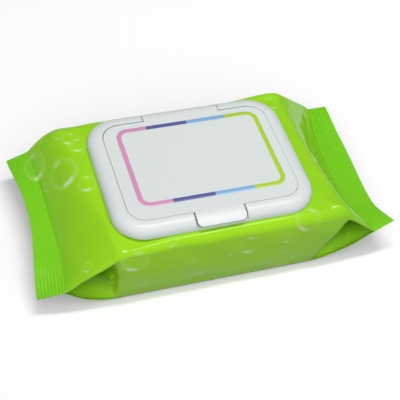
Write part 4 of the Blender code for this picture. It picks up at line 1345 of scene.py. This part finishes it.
def build_sticker(settings):
    """The lid's label: rings from its underside round its thin edge and over the stripe, with the
    first and the last drawn in to the middle.
    """
    top = CAP_TOP + STICKER_THICKNESS
    stripe = settings.stripe_width
    insets = [SMALL_ROUND, 0, 0, STICKER_EDGE_ROUND, stripe / 2, stripe, stripe]
    heights = [CAP_TOP - STICKER_SINK] * 2 + [top - STICKER_EDGE_ROUND, top, top, top, top]
    rings = [on_level(sticker_outline(inset), height) for inset, height in zip(insets, heights)]
    base, inner = rings[0], rings[-1]
    drawn_in = [lerp(inner, inner.mean(axis=0), share) for share in np.linspace(0, 1, 9)[1:]]
    points = np.array([lerp(base, base.mean(axis=0), 1), *rings, *drawn_in])
    faces = grid_faces(points, wrap_columns=True)
    middle_x = points.reshape(-1, 3)[faces][..., 0].mean(axis=1)
    row = np.arange(len(faces)) // points.shape[1]
    stripes = np.array([settings.first, settings.second, settings.third, settings.fourth])
    printed = stripes[sum((middle_x > split).astype(int) for split in STRIPE_SPLITS)]
    on_stripe = ((row > 1) & (row < len(insets) - 1))[:, None]
    ink = np.where(on_stripe, printed, np.array(settings.field))
    piece = make_piece("lid_sticker", points + CAP_PLACE, faces, label_paper(), "lid",
                       [("ink", "FLOAT_COLOR", "FACE", ink)], sharp=50)
    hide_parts("lid_label")


def build_peel_film(settings):
    """The peel film over the dispensing slit: a thin sheet whose pull tab stands up a little."""
    half = np.array([OPENING_HALF[axis] - PEEL_FILM_MARGINS[axis] for axis in (0, 1)])
    edge = ring_outline(half, PEEL_FILM_CORNER, corner_steps=10, straight_steps=24)
    out = np.exp(-(edge[:, 1] / (PULL_TAB_HALF * 0.8)) ** 6) * (edge[:, 0] > half[0] - SAME_PLACE)
    edge[:, 0] += PULL_TAB_LENGTH * out
    low = SEAT_GAP - DISH_DEPTH - PEEL_FILM_SINK
    shares = np.concatenate([[1.0, 1.0], np.linspace(1, 0, 16)[1:]])
    rings = np.array([on_level(edge * share, 0) for share in shares])
    lift = ramp(rings[..., 0], half[0] - PULL_TAB_BEND, PULL_TAB_LENGTH + PULL_TAB_BEND)
    ripple = PEEL_FILM_RIPPLE[0] * waves(rings[..., 0], rings[..., 1], PEEL_FILM_RIPPLE[1])
    rings[..., 2] = low + PEEL_FILM_THICKNESS + settings.tab_lift * lift + ripple
    rings[0, :, 2] -= PEEL_FILM_THICKNESS
    under = rings[:0:-1].copy()
    under[..., 2] -= PEEL_FILM_THICKNESS
    points = np.concatenate([under, rings]) + CAP_PLACE
    faces = grid_faces(points, wrap_columns=True)
    material = peel_film_material(settings.peel_film)
    piece = make_piece("peel_film", points, faces, material, "pack", sharp=50)
    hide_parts("peel_seal")


# Stage

CAMERA_PLACE = (-126.67 * MM, -303.0 * MM, 377.8 * MM)
CAMERA_AIM = (-0.40 * MM, -5.49 * MM, 16 * MM)
CAMERA_ROLL = 7.777
CAMERA_LENS = 95.3
CAMERA_SENSOR = 36
LAMP_CENTRE = (61 * MM, 8 * MM)
LAMP_SIZE = (340 * MM, 45 * MM)
LAMP_POWER = 1.4
SKY_FILL = 0.09
WINDOW_FILL = 1.38
WINDOW_DIRECTION = (-0.2, -0.7, 0.68)
WINDOW_SPAN = (0.35, 1.0)
HORIZON_SPAN = (0.02, 0.4)
HORIZON_TONE = 0.4
CEILING_TONE = 0.18
FLOOR_GLOW = 0.16


def build_camera():
    """The camera at the photograph's place, a long lens turned a little about its own axis."""
    data = bpy.data.cameras.new("camera")
    data.lens = CAMERA_LENS
    data.sensor_width = CAMERA_SENSOR
    data.clip_start = 10 * MM
    camera = bpy.data.objects.new("camera", data)
    bpy.context.scene.collection.objects.link(camera)
    direction = Vector(CAMERA_AIM) - Vector(CAMERA_PLACE)
    turn = direction.to_track_quat("-Z", "Y").to_matrix().to_4x4()
    roll = Matrix.Rotation(math.radians(CAMERA_ROLL), 4, "Z")
    camera.matrix_world = Matrix.Translation(CAMERA_PLACE) @ turn @ roll
    bpy.context.scene.camera = camera


def build_floor(settings):
    """A square sheet of studio paper just under the pack."""
    half = settings.floor_half
    corners = np.array([(-half, -half, 0), (half, -half, 0), (half, half, 0), (-half, half, 0)])
    mesh = bpy.data.meshes.new("floor")
    mesh.from_pydata(corners, [], [(0, 1, 2, 3)])
    floor = bpy.data.objects.new("floor", mesh)
    bpy.context.scene.collection.objects.link(floor)
    mesh.materials.append(floor_material(settings))


def build_lights(settings):
    """A soft lamp overhead and a world with a broad window in front.

    The world lights the pack with that window, and shows as a pale wall under a darker ceiling.
    """
    data = bpy.data.lights.new("overhead", "AREA")
    data.shape = "RECTANGLE"
    data.size, data.size_y = LAMP_SIZE
    data.energy = LAMP_POWER
    lamp = bpy.data.objects.new("overhead", data)
    bpy.context.scene.collection.objects.link(lamp)
    lamp.location = (*LAMP_CENTRE, settings.lamp_height)
    world = bpy.data.worlds.new("studio")
    add = emptied(world)
    direction = add("TexCoord").outputs["Generated"]
    up = add("SeparateXYZ", (direction,)).outputs[2]
    shown = add("MapRange", (up, *HORIZON_SPAN, HORIZON_TONE, CEILING_TONE),
                interpolation_type="SMOOTHSTEP")
    near = add("VectorMath", (direction, WINDOW_DIRECTION), operation="DOT_PRODUCT")
    light = add("MapRange", (near, *WINDOW_SPAN, SKY_FILL, SKY_FILL + WINDOW_FILL),
                interpolation_type="SMOOTHSTEP")
    strength = add("Mix", {0: seen_ray(add), 2: light, 3: shown})
    background = add("Background", {"Color": (1, 1, 1, 1), "Strength": strength})
    add("OutputWorld", {"Surface": background})
    bpy.context.scene.world = world


# Operators, panel and registration


class WIPES_OT_film(bpy.types.Operator):
    """Add the printed film pack"""

    bl_idname = "wipes.film"
    bl_label = "Film Pack"

    def execute(self, context):
        build_film(context.scene.wipes_film)
        return {"FINISHED"}


class WIPES_OT_cap(bpy.types.Operator):
    """Add the cap's rim with its well and collar"""

    bl_idname = "wipes.cap"
    bl_label = "Cap Rim"

    def execute(self, context):
        build_cap(context.scene.wipes_cap)
        return {"FINISHED"}


class WIPES_OT_lid(bpy.types.Operator):
    """Add the lid, the ribs under it and its living hinge"""

    bl_idname = "wipes.lid"
    bl_label = "Lid"

    def execute(self, context):
        build_lid(context.scene.wipes_cap)
        build_lid_ribs(context.scene.wipes_cap)
        build_hinge_web(context.scene.wipes_cap)
        return {"FINISHED"}


class WIPES_OT_sticker(bpy.types.Operator):
    """Add the lid's printed sticker"""

    bl_idname = "wipes.sticker"
    bl_label = "Lid Sticker"

    def execute(self, context):
        build_sticker(context.scene.wipes_sticker)
        return {"FINISHED"}


class WIPES_OT_peel_film(bpy.types.Operator):
    """Add the peel film over the dispensing slit"""

    bl_idname = "wipes.peel_film"
    bl_label = "Peel Film"

    def execute(self, context):
        build_peel_film(context.scene.wipes_cap)
        return {"FINISHED"}


class WIPES_OT_stage(bpy.types.Operator):
    """Add the floor, the lights and the camera"""

    bl_idname = "wipes.stage"
    bl_label = "Stage"

    def execute(self, context):
        build_floor(context.scene.wipes_stage)
        build_lights(context.scene.wipes_stage)
        build_camera()
        context.scene.view_settings.view_transform = "Standard"
        return {"FINISHED"}


OPERATORS = (WIPES_OT_film, WIPES_OT_cap, WIPES_OT_lid, WIPES_OT_sticker, WIPES_OT_peel_film, WIPES_OT_stage)
SETTINGS = {"wipes_film": WIPES_PG_film, "wipes_cap": WIPES_PG_cap, "wipes_sticker": WIPES_PG_sticker,
            "wipes_stage": WIPES_PG_stage}


class WIPES_PT_pieces(bpy.types.Panel):
    """Sidebar panel with a button for each piece and the settings below them"""

    bl_label = "Wipes Pack"
    bl_space_type = "VIEW_3D"
    bl_region_type = "UI"
    bl_category = "Wipes Pack"

    def draw(self, context):
        for operator in OPERATORS:
            self.layout.operator(operator.bl_idname)
        for name, group in SETTINGS.items():
            box = self.layout.box()
            for setting in group.__annotations__:
                box.prop(getattr(context.scene, name), setting)


def register():
    for group in (*SETTINGS.values(), *OPERATORS, WIPES_PT_pieces):
        bpy.utils.register_class(group)
    for name, group in SETTINGS.items():
        setattr(bpy.types.Scene, name, PointerProperty(type=group))


def unregister():
    for name in SETTINGS:
        delattr(bpy.types.Scene, name)
    for group in (WIPES_PT_pieces, *OPERATORS[::-1], *SETTINGS.values()):
        bpy.utils.unregister_class(group)


def main():
    register()
    for operator in OPERATORS:
        group, name = operator.bl_idname.split(".")
        getattr(getattr(bpy.ops, group), name)()


if __name__ == "__main__":
    main()
